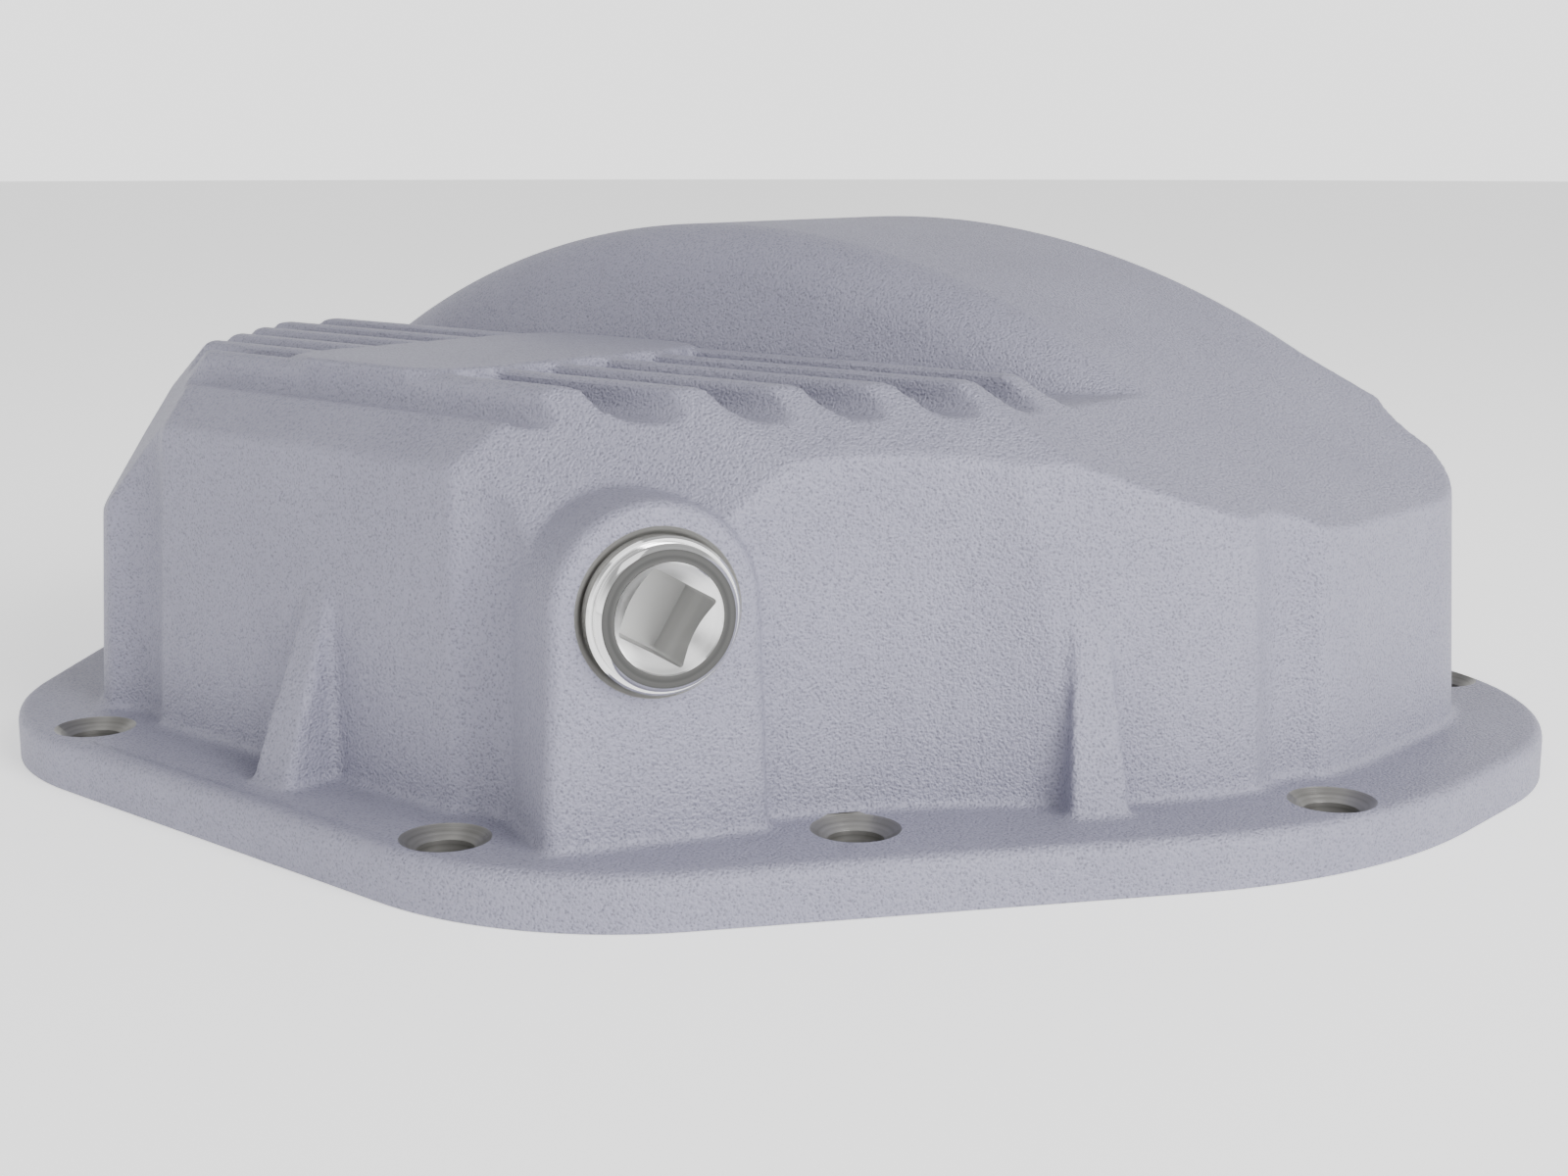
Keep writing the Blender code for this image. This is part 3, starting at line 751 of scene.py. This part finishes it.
    def soften(self, item: bpy.types.Object, voxel: float, rounds: int, fin_rounds: int) -> bmesh.types.BMesh:
        """Fuse a body into one skin and soften its edges as a mould does.

        Args:
            item: Body, which is used up.
            voxel: Size of the voxels that fuse it.
            rounds: Rounds of smoothing.
            fin_rounds: Rounds of smoothing on the finned deck.

        Returns:
            The skin, cut open at the mating face.
        """
        modifier = item.modifiers.new("fuse", "REMESH")
        modifier.mode = "VOXEL"
        modifier.voxel_size = voxel
        Bench.bake(item)
        bm = bmesh.new()
        bm.from_mesh(item.data)
        floor = self.roof.deck - self.roof.fin_height - self.below_fins
        rear = self.roof.dome_front + self.behind_fins
        plain = [vert for vert in bm.verts if vert.co.z < floor or vert.co.y > rear]
        for index in range(rounds):
            chosen = list(bm.verts) if index < fin_rounds else plain
            bmesh.ops.smooth_vert(
                bm,
                verts=chosen,
                factor=0.5,
                use_axis_x=True,
                use_axis_y=True,
                use_axis_z=True,
            )
        bm.to_mesh(item.data)
        bm.free()
        share = self.outer_triangles / (2.0 * len(item.data.polygons))
        if share < 1.0:
            thinner = item.modifiers.new("thin", "DECIMATE")
            thinner.ratio = share
            Bench.bake(item)
        bm = bmesh.new()
        bm.from_mesh(item.data)
        bpy.data.objects.remove(item, do_unlink=True)
        geometry = list(bm.verts) + list(bm.edges) + list(bm.faces)
        bmesh.ops.bisect_plane(
            bm,
            geom=geometry,
            dist=WELD / 10.0,
            plane_co=(0.0, 0.0, 0.0),
            plane_no=(0.0, 0.0, -1.0),
            clear_outer=True,
        )
        return bm

    def cast(self) -> bpy.types.Object:
        """Build the cast body: soft outer skin, soft hollow and flat mating face.

        Returns:
            The body, without its machined holes.
        """
        outer = self.blank(0.0, self.outline.flange_top / 2.0)
        Bench.combine(outer, self.boss(), Combine.JOIN)
        Bench.combine(outer, self.flange(), Combine.JOIN)
        for place in self.ribs:
            Bench.combine(outer, self.rib(*place), Combine.JOIN)
            if place[0] is not Side.FRONT:
                twin = self.rib(*place)
                twin.data.transform(Matrix.Scale(-1.0, 4, (1.0, 0.0, 0.0)))
                twin.data.flip_normals()
                Bench.combine(outer, twin, Combine.JOIN)
        Bench.combine(outer, self.pad(), Combine.JOIN)
        skin = self.soften(outer, self.outer_voxel, self.soft_rounds, self.fin_rounds)
        core = self.blank(self.wall, -self.spare)
        hollow = self.soften(core, self.inner_voxel, self.inner_rounds, self.inner_rounds)
        bmesh.ops.reverse_faces(hollow, faces=hollow.faces)
        inside = bpy.data.meshes.new("hollow")
        hollow.to_mesh(inside)
        hollow.free()
        skin.from_mesh(inside)
        bpy.data.meshes.remove(inside)
        rims = [edge for edge in skin.edges if edge.is_boundary]
        bmesh.ops.triangle_fill(
            skin,
            use_beauty=True,
            use_dissolve=False,
            edges=rims,
            normal=(0.0, 0.0, -1.0),
        )
        return Bench.place("cover", skin)

    def holes(self) -> bpy.types.Object:
        """Build the tool that machines the bolt holes, their seats and the plug's port.

        Returns:
            The tool, ten bolt cutters and one port cutter.
        """
        top = self.outline.flange_top
        flare = self.seat_flare * (self.seat - self.bore) / self.seat_depth
        bolt = [
            (0.0, top + self.seat_lift),
            (self.seat + flare * self.seat_lift, top + self.seat_lift),
            (self.seat, top),
            (self.bore + self.seat_edge, top - self.seat_depth),
            (self.bore, top - self.seat_depth - self.seat_edge),
            (self.bore, -self.spare),
            (0.0, -self.spare),
        ]
        bm = bmesh.new()
        for centre in self.places((*self.relieved, self.open_bolt)):
            Bench.turn(bm, bolt, BORE_STEPS, Matrix.Translation(centre))
        sink = self.countersink - self.port
        port = [
            (0.0, self.spare),
            (self.countersink + self.spare, self.spare),
            (self.port, -sink),
            (self.port, -self.boss_depth),
            (0.0, -self.boss_depth),
        ]
        Bench.turn(bm, port, PORT_STEPS, self.plug.matrix(self.outline))
        return Bench.place("holes", bm)

    def build(
        self,
        cast: bpy.types.Material,
        machined: bpy.types.Material,
        countersink_painted_light: bpy.types.Material,
    ) -> bpy.types.Object:
        """Build and dress the whole casting.

        Args:
            cast: Finish of the skin as cast.
            machined: Finish of the bolt holes, their seats and the mating face.
            countersink_painted_light: Finish of the plug's port and its countersink, a lighter copy of the
                machined finish whose extra lightness is painted light in place of the shade that the plug's
                collar casts on the cone.

        Returns:
            The finished piece.
        """
        cover = self.cast()
        cover.name = "cover"
        for finish in (cast, machined, countersink_painted_light):
            cover.data.materials.append(finish)
        tool = self.holes()
        tool.data.materials.append(machined)
        Bench.combine(cover, tool, Combine.CUT)
        mesh = cover.data
        slots = [slot.material for slot in cover.material_slots]
        bare = slots.index(machined)
        for face in mesh.polygons:
            face.use_smooth = True
            if face.center.z < 10.0 * WELD and face.normal.z < -FACING:
                face.material_index = bare
        mesh.set_sharp_from_angle(angle=math.radians(self.sharp))
        self.map_turning(mesh, bare, slots.index(countersink_painted_light))
        return cover

    def map_turning(self, mesh: bpy.types.Mesh, bare: int, painted_light_slot: int) -> None:
        """Give machined faces a map of radius and height about their nearest hole.

        Args:
            mesh: Mesh of the cover.
            bare: Index of the machined material.
            painted_light_slot: Index of the countersink's material, the lighter copy of the machined finish
                with painted light where the collar shades the cone.
        """
        layer = mesh.uv_layers.new(name="turning")
        centres = self.places((*self.relieved, self.open_bolt))
        boss = self.plug.matrix(self.outline).inverted()
        for face in mesh.polygons:
            if face.material_index != bare:
                continue
            local = boss @ face.center
            on_boss = local.xy.length < 2.0 * self.countersink and abs(local.z) < self.boss_depth + self.spare
            # Port and countersink faces take the lighter material: painted light over the shade under the
            # plug's collar.
            if on_boss:
                face.material_index = painted_light_slot
            nearest = min(centres, key=lambda centre: (centre.xy - face.center.xy).length)
            for index in face.loop_indices:
                point = mesh.vertices[mesh.loops[index].vertex_index].co
                if on_boss:
                    local = boss @ point
                    layer.data[index].uv = (local.xy.length, local.z)
                else:
                    layer.data[index].uv = ((point.xy - nearest.xy).length, point.z)


@dataclass
class FillerPlug:
    """Turned steel plug with a dished head, a square drive and a threaded shank.

    Attributes hold the sizes in metres, measured from the face of its boss.
    """

    outline: Outline
    place: PlugPlace
    collar: float = 0.0134
    collar_height: float = 0.003
    head_foot: float = 0.0125
    head: float = 0.012
    head_height: float = 0.0053
    edge: float = 0.0004
    bevel: float = 0.0008
    neck: float = 0.0104
    neck_length: float = 0.0034
    shank: float = 0.0109
    shank_length: float = 0.016
    dish: float = 0.0095
    dish_depth: float = 0.0034
    drive: float = 0.0127
    drive_depth: float = 0.016
    drive_turn: float = -30.0
    drive_corner: float = 0.0007
    pitch: float = 0.0015
    thread_depth: float = 0.0009
    crest: tuple[float, float] = (0.42, 0.58)
    corner_steps: int = 4
    sharp: float = 30.0
    steps: int = 160

    def profile(self) -> list[tuple[float, float]]:
        """Draw the turned profile, from the middle of the dish round to the tip of the shank."""
        ends = [(0.0, self.head_height - self.dish_depth)]
        ends.append((self.dish - self.dish_depth, self.head_height - self.dish_depth))
        ends.append((self.dish - self.edge / 2.0, self.head_height - self.edge / 2.0))
        ends.append((self.dish, self.head_height))
        ends.append((self.head - self.bevel / 2.0, self.head_height))
        ends.append((self.head + self.edge / 4.0, self.head_height - self.bevel))
        ends.append((self.head + self.edge, self.head_height - self.bevel - self.edge / 2.0))
        ends.append((self.head_foot, self.collar_height + self.edge / 2.0))
        ends.append((self.head_foot, self.collar_height - self.edge))
        ends.append((self.head_foot + self.edge / 2.0, self.collar_height - self.edge))
        ends.append((self.head_foot + self.edge / 2.0, self.collar_height))
        ends.append((self.collar - self.edge, self.collar_height))
        ends.append((self.collar, self.collar_height - self.edge))
        ends.append((self.collar, self.edge / 2.0))
        ends.append((self.collar - self.edge / 2.0, 0.0))
        ends.append((self.neck, 0.0))
        root = self.shank - self.thread_depth
        height = -self.neck_length
        ends.append((self.neck, height + self.edge))
        while height - self.pitch > -self.shank_length:
            ends.append((root, height))
            for share in self.crest:
                ends.append((self.shank, height - share * self.pitch))
            height -= self.pitch
        ends.append((root, height))
        ends.append((root, -self.shank_length))
        ends.append((0.0, -self.shank_length))
        return ends

    def build(
        self,
        polished: bpy.types.Material,
        dished: bpy.types.Material,
        brushed: bpy.types.Material,
        rim: bpy.types.Material,
    ) -> bpy.types.Object:
        """Turn the plug, sink its square drive and dress it.

        Args:
            polished: Finish of the collar and the head.
            dished: Finish of the dish.
            brushed: Finish of the drive and the shank.
            rim: Finish of the flat rim round the dish.

        Returns:
            The finished piece.
        """
        bm = bmesh.new()
        Bench.turn(bm, self.profile(), self.steps, Matrix.Identity(4))
        plug = Bench.place("plug", bm)
        for finish in (polished, dished, brushed, rim):
            plug.data.materials.append(finish)
        dish_floor = self.head_height - self.dish_depth - WELD
        dish_rim = self.dish - self.edge / 2.0
        for face in plug.data.polygons:
            if face.center.z < 0.0:
                face.material_index = 2
            elif face.center.z > dish_floor and face.center.xy.length < dish_rim:
                face.material_index = 1
            elif face.normal.z > FACING and face.center.z > self.head_height - self.edge / 2.0:
                face.material_index = 3
        half = self.drive / 2.0
        drive = bmesh.new()
        low = Vector((-half, -half, self.head_height - self.drive_depth))
        Bench.box(drive, low, Vector((half, half, self.head_height + self.drive)))
        upright = [edge for edge in drive.edges if (edge.verts[0].co - edge.verts[1].co).xy.length < WELD]
        Bench.round_edges(drive, upright, self.drive_corner, self.corner_steps)
        tool = Bench.place("drive", drive, Matrix.Rotation(math.radians(self.drive_turn), 4, "Z"))
        tool.data.materials.append(brushed)
        Bench.combine(plug, tool, Combine.CUT)
        plug.name = "plug"
        mesh = plug.data
        for face in mesh.polygons:
            face.use_smooth = True
        mesh.set_sharp_from_angle(angle=math.radians(self.sharp))
        layer = mesh.uv_layers.new(name="turning")
        for loop in mesh.loops:
            point = mesh.vertices[loop.vertex_index].co
            layer.data[loop.index].uv = (point.xy.length, point.z)
        mesh.transform(self.place.matrix(self.outline))
        return plug


@dataclass
class Sheet:
    """Thin wrapper round a node tree."""

    tree: bpy.types.NodeTree

    def add(self, kind: str, **settings: object) -> bpy.types.Node:
        """Add a node.

        Args:
            kind: Class name of the node.
            settings: Attributes to set on it.

        Returns:
            The node.
        """
        node = self.tree.nodes.new(kind)
        for name, value in settings.items():
            setattr(node, name, value)
        return node

    def join(self, source: bpy.types.NodeSocket, target: bpy.types.NodeSocket) -> None:
        """Link an output to an input."""
        self.tree.links.new(source, target)


@dataclass
class GrainGroup:
    """Node group for a pebbled, slightly mottled surface."""

    name: str = "pebble grain"
    tree: bpy.types.NodeTree | None = field(default=None)

    def get(self) -> bpy.types.NodeTree:
        """Build the group once and give it.

        Returns:
            The node group, with outputs for height and mottle.
        """
        if self.tree is not None:
            return self.tree
        tree = bpy.data.node_groups.new(self.name, "ShaderNodeTree")
        face = tree.interface
        face.new_socket("Coordinates", in_out="INPUT", socket_type="NodeSocketVector")
        face.new_socket("Grains per Metre", in_out="INPUT", socket_type="NodeSocketFloat")
        face.new_socket("Patches per Metre", in_out="INPUT", socket_type="NodeSocketFloat")
        face.new_socket("Height", in_out="OUTPUT", socket_type="NodeSocketFloat")
        face.new_socket("Mottle", in_out="OUTPUT", socket_type="NodeSocketFloat")
        sheet = Sheet(tree)
        given = sheet.add("NodeGroupInput")
        result = sheet.add("NodeGroupOutput")
        fine = sheet.add("ShaderNodeTexNoise")
        fine.inputs["Detail"].default_value = 3.0
        fine.inputs["Roughness"].default_value = 0.55
        pebble = sheet.add("ShaderNodeTexVoronoi", feature="SMOOTH_F1")
        pebble.inputs["Smoothness"].default_value = 0.7
        patch = sheet.add("ShaderNodeTexNoise")
        patch.inputs["Detail"].default_value = 4.0
        mix = sheet.add("ShaderNodeMath", operation="MULTIPLY_ADD")
        mix.inputs[1].default_value = 0.6
        sheet.join(given.outputs["Coordinates"], fine.inputs["Vector"])
        sheet.join(given.outputs["Coordinates"], pebble.inputs["Vector"])
        sheet.join(given.outputs["Coordinates"], patch.inputs["Vector"])
        sheet.join(given.outputs["Grains per Metre"], fine.inputs["Scale"])
        sheet.join(given.outputs["Grains per Metre"], pebble.inputs["Scale"])
        sheet.join(given.outputs["Patches per Metre"], patch.inputs["Scale"])
        sheet.join(pebble.outputs["Distance"], mix.inputs[0])
        sheet.join(fine.outputs["Fac"], mix.inputs[2])
        sheet.join(mix.outputs[0], result.inputs["Height"])
        sheet.join(patch.outputs["Fac"], result.inputs["Mottle"])
        self.tree = tree
        return tree


@dataclass
class TurningGroup:
    """Node group for the fine rings that a tool leaves round a hole or on a turned piece."""

    name: str = "turning marks"
    tree: bpy.types.NodeTree | None = field(default=None)

    def get(self) -> bpy.types.NodeTree:
        """Build the group once and give it.

        Returns:
            The node group, with outputs for height and shine.
        """
        if self.tree is not None:
            return self.tree
        tree = bpy.data.node_groups.new(self.name, "ShaderNodeTree")
        face = tree.interface
        face.new_socket("Turning Map", in_out="INPUT", socket_type="NodeSocketVector")
        face.new_socket("Rings per Metre", in_out="INPUT", socket_type="NodeSocketFloat")
        face.new_socket("Height", in_out="OUTPUT", socket_type="NodeSocketFloat")
        face.new_socket("Shine", in_out="OUTPUT", socket_type="NodeSocketFloat")
        sheet = Sheet(tree)
        given = sheet.add("NodeGroupInput")
        result = sheet.add("NodeGroupOutput")
        rings = sheet.add("ShaderNodeTexNoise", noise_dimensions="2D")
        rings.inputs["Detail"].default_value = 2.0
        bands = sheet.add("ShaderNodeTexNoise", noise_dimensions="2D")
        bands.inputs["Detail"].default_value = 1.0
        coarse = sheet.add("ShaderNodeMath", operation="MULTIPLY")
        coarse.inputs[1].default_value = 0.18
        sheet.join(given.outputs["Turning Map"], rings.inputs["Vector"])
        sheet.join(given.outputs["Turning Map"], bands.inputs["Vector"])
        sheet.join(given.outputs["Rings per Metre"], rings.inputs["Scale"])
        sheet.join(given.outputs["Rings per Metre"], coarse.inputs[0])
        sheet.join(coarse.outputs[0], bands.inputs["Scale"])
        sheet.join(rings.outputs["Fac"], result.inputs["Height"])
        sheet.join(bands.outputs["Fac"], result.inputs["Shine"])
        self.tree = tree
        return tree


def new_material(name: str) -> tuple[bpy.types.Material, Sheet, bpy.types.Node]:
    """Start a material.

    Args:
        name: Name of the material.

    Returns:
        The material, its sheet of nodes and its Principled shader.
    """
    material = bpy.data.materials.new(name)
    material.use_nodes = True
    sheet = Sheet(material.node_tree)
    return material, sheet, material.node_tree.nodes["Principled BSDF"]


def ramp(sheet: Sheet, low: Colour, high: Colour, start: float, end: float) -> bpy.types.Node:
    """Add a ramp between two colours.

    Args:
        sheet: Sheet that takes the node.
        low: Colour at the start.
        high: Colour at the end.
        start: Value of the start.
        end: Value of the end.

    Returns:
        The ramp node.
    """
    node = sheet.add("ShaderNodeValToRGB")
    node.color_ramp.elements[0].position = start
    node.color_ramp.elements[0].color = (*low, 1.0)
    node.color_ramp.elements[1].position = end
    node.color_ramp.elements[1].color = (*high, 1.0)
    return node


@dataclass(frozen=True)
class CastFinish:
    """Matte blasted aluminium, as cast, with a fine pebbled grain."""

    grain: GrainGroup
    dark: Colour = (0.250, 0.247, 0.318)
    light: Colour = (0.276, 0.273, 0.348)
    speck: Colour = (0.62, 0.62, 0.63)
    bare: Colour = (1.0, 1.0, 1.0)
    mottle_span: tuple[float, float] = (0.25, 0.75)
    speck_span: tuple[float, float] = (0.48, 0.78)
    rough: tuple[float, float] = (0.62, 0.50)
    metallic: float = 0.20
    grains: float = 1900.0
    patches: float = 45.0
    depth: float = 0.00034

    def material(self) -> bpy.types.Material:
        """Build the material."""
        material, sheet, shader = new_material("cast aluminium")
        shader.inputs["Metallic"].default_value = self.metallic
        place = sheet.add("ShaderNodeTexCoord")
        group = sheet.add("ShaderNodeGroup", node_tree=self.grain.get())
        group.inputs["Grains per Metre"].default_value = self.grains
        group.inputs["Patches per Metre"].default_value = self.patches
        tint = ramp(sheet, self.dark, self.light, *self.mottle_span)
        speck = ramp(sheet, self.speck, self.bare, *self.speck_span)
        shade = sheet.add("ShaderNodeMix", data_type="RGBA", blend_type="MULTIPLY")
        shade.inputs["Factor"].default_value = 1.0
        rough = sheet.add("ShaderNodeMapRange")
        rough.inputs["To Min"].default_value = self.rough[0]
        rough.inputs["To Max"].default_value = self.rough[1]
        bump = sheet.add("ShaderNodeBump")
        bump.inputs["Strength"].default_value = 1.0
        bump.inputs["Distance"].default_value = self.depth
        sheet.join(place.outputs["Object"], group.inputs["Coordinates"])
        sheet.join(group.outputs["Mottle"], tint.inputs["Fac"])
        sheet.join(group.outputs["Height"], speck.inputs["Fac"])
        sheet.join(tint.outputs["Color"], shade.inputs["A"])
        sheet.join(speck.outputs["Color"], shade.inputs["B"])
        sheet.join(shade.outputs["Result"], shader.inputs["Base Color"])
        sheet.join(group.outputs["Height"], rough.inputs["Value"])
        sheet.join(rough.outputs["Result"], shader.inputs["Roughness"])
        sheet.join(group.outputs["Height"], bump.inputs["Height"])
        sheet.join(bump.outputs["Normal"], shader.inputs["Normal"])
        return material


@dataclass(frozen=True)
class MachinedFinish:
    """Bare metal cut by a turning tool."""

    turning: TurningGroup
    name: str
    dark: Colour
    light: Colour
    rough: tuple[float, float]
    rings: float
    depth: float
    metallic: float = 1.0
    span: tuple[float, float] = (0.30, 0.70)

    def material(self) -> bpy.types.Material:
        """Build the material."""
        material, sheet, shader = new_material(self.name)
        shader.inputs["Metallic"].default_value = self.metallic
        chart = sheet.add("ShaderNodeUVMap", uv_map="turning")
        group = sheet.add("ShaderNodeGroup", node_tree=self.turning.get())
        group.inputs["Rings per Metre"].default_value = self.rings
        tint = ramp(sheet, self.dark, self.light, *self.span)
        rough = sheet.add("ShaderNodeMapRange")
        rough.inputs["To Min"].default_value = self.rough[0]
        rough.inputs["To Max"].default_value = self.rough[1]
        bump = sheet.add("ShaderNodeBump")
        bump.inputs["Strength"].default_value = 1.0
        bump.inputs["Distance"].default_value = self.depth
        sheet.join(chart.outputs["UV"], group.inputs["Turning Map"])
        sheet.join(group.outputs["Shine"], tint.inputs["Fac"])
        sheet.join(tint.outputs["Color"], shader.inputs["Base Color"])
        sheet.join(group.outputs["Shine"], rough.inputs["Value"])
        sheet.join(rough.outputs["Result"], shader.inputs["Roughness"])
        sheet.join(group.outputs["Height"], bump.inputs["Height"])
        sheet.join(bump.outputs["Normal"], shader.inputs["Normal"])
        return material


@dataclass(frozen=True)
class RubberFinish:
    """Matte black rubber with a faint bloom."""

    grain: GrainGroup
    dark: Colour = (0.010, 0.010, 0.011)
    light: Colour = (0.030, 0.030, 0.032)
    span: tuple[float, float] = (0.35, 0.75)
    rough: tuple[float, float] = (0.55, 0.75)
    grains: float = 2500.0
    patches: float = 300.0

    def material(self) -> bpy.types.Material:
        """Build the material."""
        material, sheet, shader = new_material("black rubber")
        place = sheet.add("ShaderNodeTexCoord")
        group = sheet.add("ShaderNodeGroup", node_tree=self.grain.get())
        group.inputs["Grains per Metre"].default_value = self.grains
        group.inputs["Patches per Metre"].default_value = self.patches
        tint = ramp(sheet, self.dark, self.light, *self.span)
        rough = sheet.add("ShaderNodeMapRange")
        rough.inputs["To Min"].default_value = self.rough[0]
        rough.inputs["To Max"].default_value = self.rough[1]
        sheet.join(place.outputs["Object"], group.inputs["Coordinates"])
        sheet.join(group.outputs["Mottle"], tint.inputs["Fac"])
        sheet.join(tint.outputs["Color"], shader.inputs["Base Color"])
        sheet.join(group.outputs["Height"], rough.inputs["Value"])
        sheet.join(rough.outputs["Result"], shader.inputs["Roughness"])
        return material


@dataclass(frozen=True)
class FloorFinish:
    """Matte white paper that glows a little, as a lit sweep does."""

    colour: Colour = (0.90, 0.90, 0.90)
    rough: float = 0.9
    glow: float = 0.75

    def material(self) -> bpy.types.Material:
        """Build the material."""
        material, _, shader = new_material("pale floor")
        shader.inputs["Base Color"].default_value = (*self.colour, 1.0)
        shader.inputs["Roughness"].default_value = self.rough
        shader.inputs["Emission Color"].default_value = (*self.colour, 1.0)
        shader.inputs["Emission Strength"].default_value = self.glow
        return material


@dataclass(frozen=True)
class Lamp:
    """Soft rectangular lamp that points at the cover."""

    name: str
    azimuth: float
    elevation: float
    distance: float
    width: float
    power: float
    tint: Colour = (1.0, 1.0, 1.0)

    def build(self) -> None:
        """Hang the lamp."""
        data = bpy.data.lights.new(self.name, "AREA")
        data.shape = "RECTANGLE"
        data.size = self.width
        data.size_y = self.width
        data.energy = self.power
        data.color = self.tint
        lamp = bpy.data.objects.new(self.name, data)
        lift = math.radians(self.elevation)
        aim = heading(self.azimuth) * math.cos(lift) + Vector((0.0, 0.0, math.sin(lift)))
        lamp.location = aim * self.distance
        lamp.rotation_euler = aim.to_track_quat("Z", "Y").to_euler()
        bpy.context.scene.collection.objects.link(lamp)


@dataclass
class Studio:
    """Pale floor, soft light and the camera."""

    floor_reach: float = 8.0
    floor_drop: float = 0.0001
    floor_sides: int = 96
    finish: FloorFinish = FloorFinish()
    horizon: Colour = (1.0, 1.0, 1.0)
    ceiling: Colour = (0.27, 0.27, 0.27)
    sky_span: tuple[float, float] = (0.10, 0.55)
    sky_strength: float = 2.1
    camera_place: tuple[float, float, float] = (0.3265, -0.3573, 0.1254)
    camera_azimuth: float = 130.9
    camera_dip: float = 11.654
    lens: float = 49.15
    sensor: float = 36.0
    near: float = 0.01
    lamps: tuple[Lamp, ...] = (
        Lamp("key", azimuth=-8.0, elevation=30.0, distance=1.5, width=0.7, power=26.0),
        Lamp("fill", azimuth=-85.0, elevation=62.0, distance=1.8, width=1.0, power=4.0),
    )

    def floor(self) -> bpy.types.Object:
        """Lay the floor just under the mating face."""
        bm = bmesh.new()
        bmesh.ops.create_circle(bm, cap_ends=True, segments=self.floor_sides, radius=self.floor_reach)
        bmesh.ops.translate(bm, vec=(0.0, 0.0, -self.floor_drop), verts=bm.verts)
        mesh = bpy.data.meshes.new("floor")
        bm.to_mesh(mesh)
        bm.free()
        item = bpy.data.objects.new("floor", mesh)
        bpy.context.scene.collection.objects.link(item)
        mesh.materials.append(self.finish.material())
        return item

    def world(self) -> None:
        """Fill the room with light from its white walls, under a grey ceiling."""
        world = bpy.data.worlds.new("studio")
        world.use_nodes = True
        back = world.node_tree.nodes["Background"]
        back.inputs["Strength"].default_value = self.sky_strength
        sheet = Sheet(world.node_tree)
        way = sheet.add("ShaderNodeTexCoord")
        parts = sheet.add("ShaderNodeSeparateXYZ")
        tone = ramp(sheet, self.horizon, self.ceiling, *self.sky_span)
        sheet.join(way.outputs["Generated"], parts.inputs[0])
        sheet.join(parts.outputs["Z"], tone.inputs["Fac"])
        sheet.join(tone.outputs["Color"], back.inputs["Color"])
        bpy.context.scene.world = world

    def camera(self) -> None:
        """Set the camera at the photograph's angle."""
        data = bpy.data.cameras.new("camera")
        data.lens = self.lens
        data.sensor_width = self.sensor
        data.clip_start = self.near
        item = bpy.data.objects.new("camera", data)
        dip = math.radians(self.camera_dip)
        gaze = heading(self.camera_azimuth) * math.cos(dip) - Vector((0.0, 0.0, math.sin(dip)))
        item.location = self.camera_place
        item.rotation_euler = gaze.to_track_quat("-Z", "Y").to_euler()
        bpy.context.scene.collection.objects.link(item)
        bpy.context.scene.camera = item

    def build(self) -> bpy.types.Object:
        """Build the room.

        Returns:
            The floor.
        """
        self.world()
        self.camera()
        for lamp in self.lamps:
            lamp.build()
        return self.floor()


def plain(box: object) -> list[list[float]]:
    """Write a box as plain lists of numbers."""
    return [[float(value) for value in corner] for corner in box]


def main() -> None:
    """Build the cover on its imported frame, dress it and light it."""
    logging.basicConfig(level=logging.INFO, format="%(message)s")
    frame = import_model()
    studio = Studio()
    studio.build()
    grain = GrainGroup()
    turning = TurningGroup()
    outline = Outline()
    place = PlugPlace()
    cast = CastFinish(grain).material()
    machined = MachinedFinish(
        turning,
        "machined aluminium",
        dark=(0.15, 0.146, 0.138),
        light=(0.25, 0.246, 0.235),
        rough=(0.30, 0.45),
        rings=5200.0,
        depth=0.00004,
        metallic=0.75,
    ).material()
    # Lighter copy of the machined finish for the port and countersink: painted light standing in for the
    # light that the plug's collar shades off the cone.
    countersink_painted_light = MachinedFinish(
        turning,
        "countersunk aluminium",
        dark=(0.33, 0.325, 0.31),
        light=(0.43, 0.425, 0.41),
        rough=(0.48, 0.60),
        rings=5200.0,
        depth=0.00003,
        metallic=0.40,
    ).material()
    polished = MachinedFinish(
        turning,
        "polished steel",
        dark=(0.74, 0.74, 0.74),
        light=(0.86, 0.86, 0.86),
        rough=(0.05, 0.11),
        rings=7000.0,
        depth=0.000005,
    ).material()
    dished = MachinedFinish(
        turning,
        "bright steel",
        dark=(0.90, 0.90, 0.90),
        light=(0.97, 0.97, 0.97),
        rough=(0.26, 0.36),
        rings=5200.0,
        depth=0.000012,
    ).material()
    brushed = MachinedFinish(
        turning,
        "brushed steel",
        dark=(0.46, 0.46, 0.455),
        light=(0.64, 0.64, 0.63),
        rough=(0.40, 0.50),
        rings=700.0,
        depth=0.000008,
    ).material()
    rim = MachinedFinish(
        turning,
        "dark turned steel",
        dark=(0.068, 0.068, 0.067),
        light=(0.098, 0.098, 0.096),
        rough=(0.26, 0.38),
        rings=6000.0,
        depth=0.00002,
    ).material()
    cover = Casting(outline, Roof(outline), place).build(cast, machined, countersink_painted_light)
    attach(cover, "root")
    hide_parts("cover_casting")
    LOG.info("cover: %d faces", len(cover.data.polygons))
    plug = FillerPlug(outline, place).build(polished, dished, brushed, rim)
    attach(plug, "root")
    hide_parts("fill_plug")
    LOG.info("plug: %d faces", len(plug.data.polygons))
    rubber = RubberFinish(grain).material()
    seal = frame["nodes"]["plug_seal"]
    for slot in seal.material_slots:
        slot.material = rubber
    LOG.info("ring: %d faces", len(seal.data.polygons))


if __name__ == "__main__":
    main()
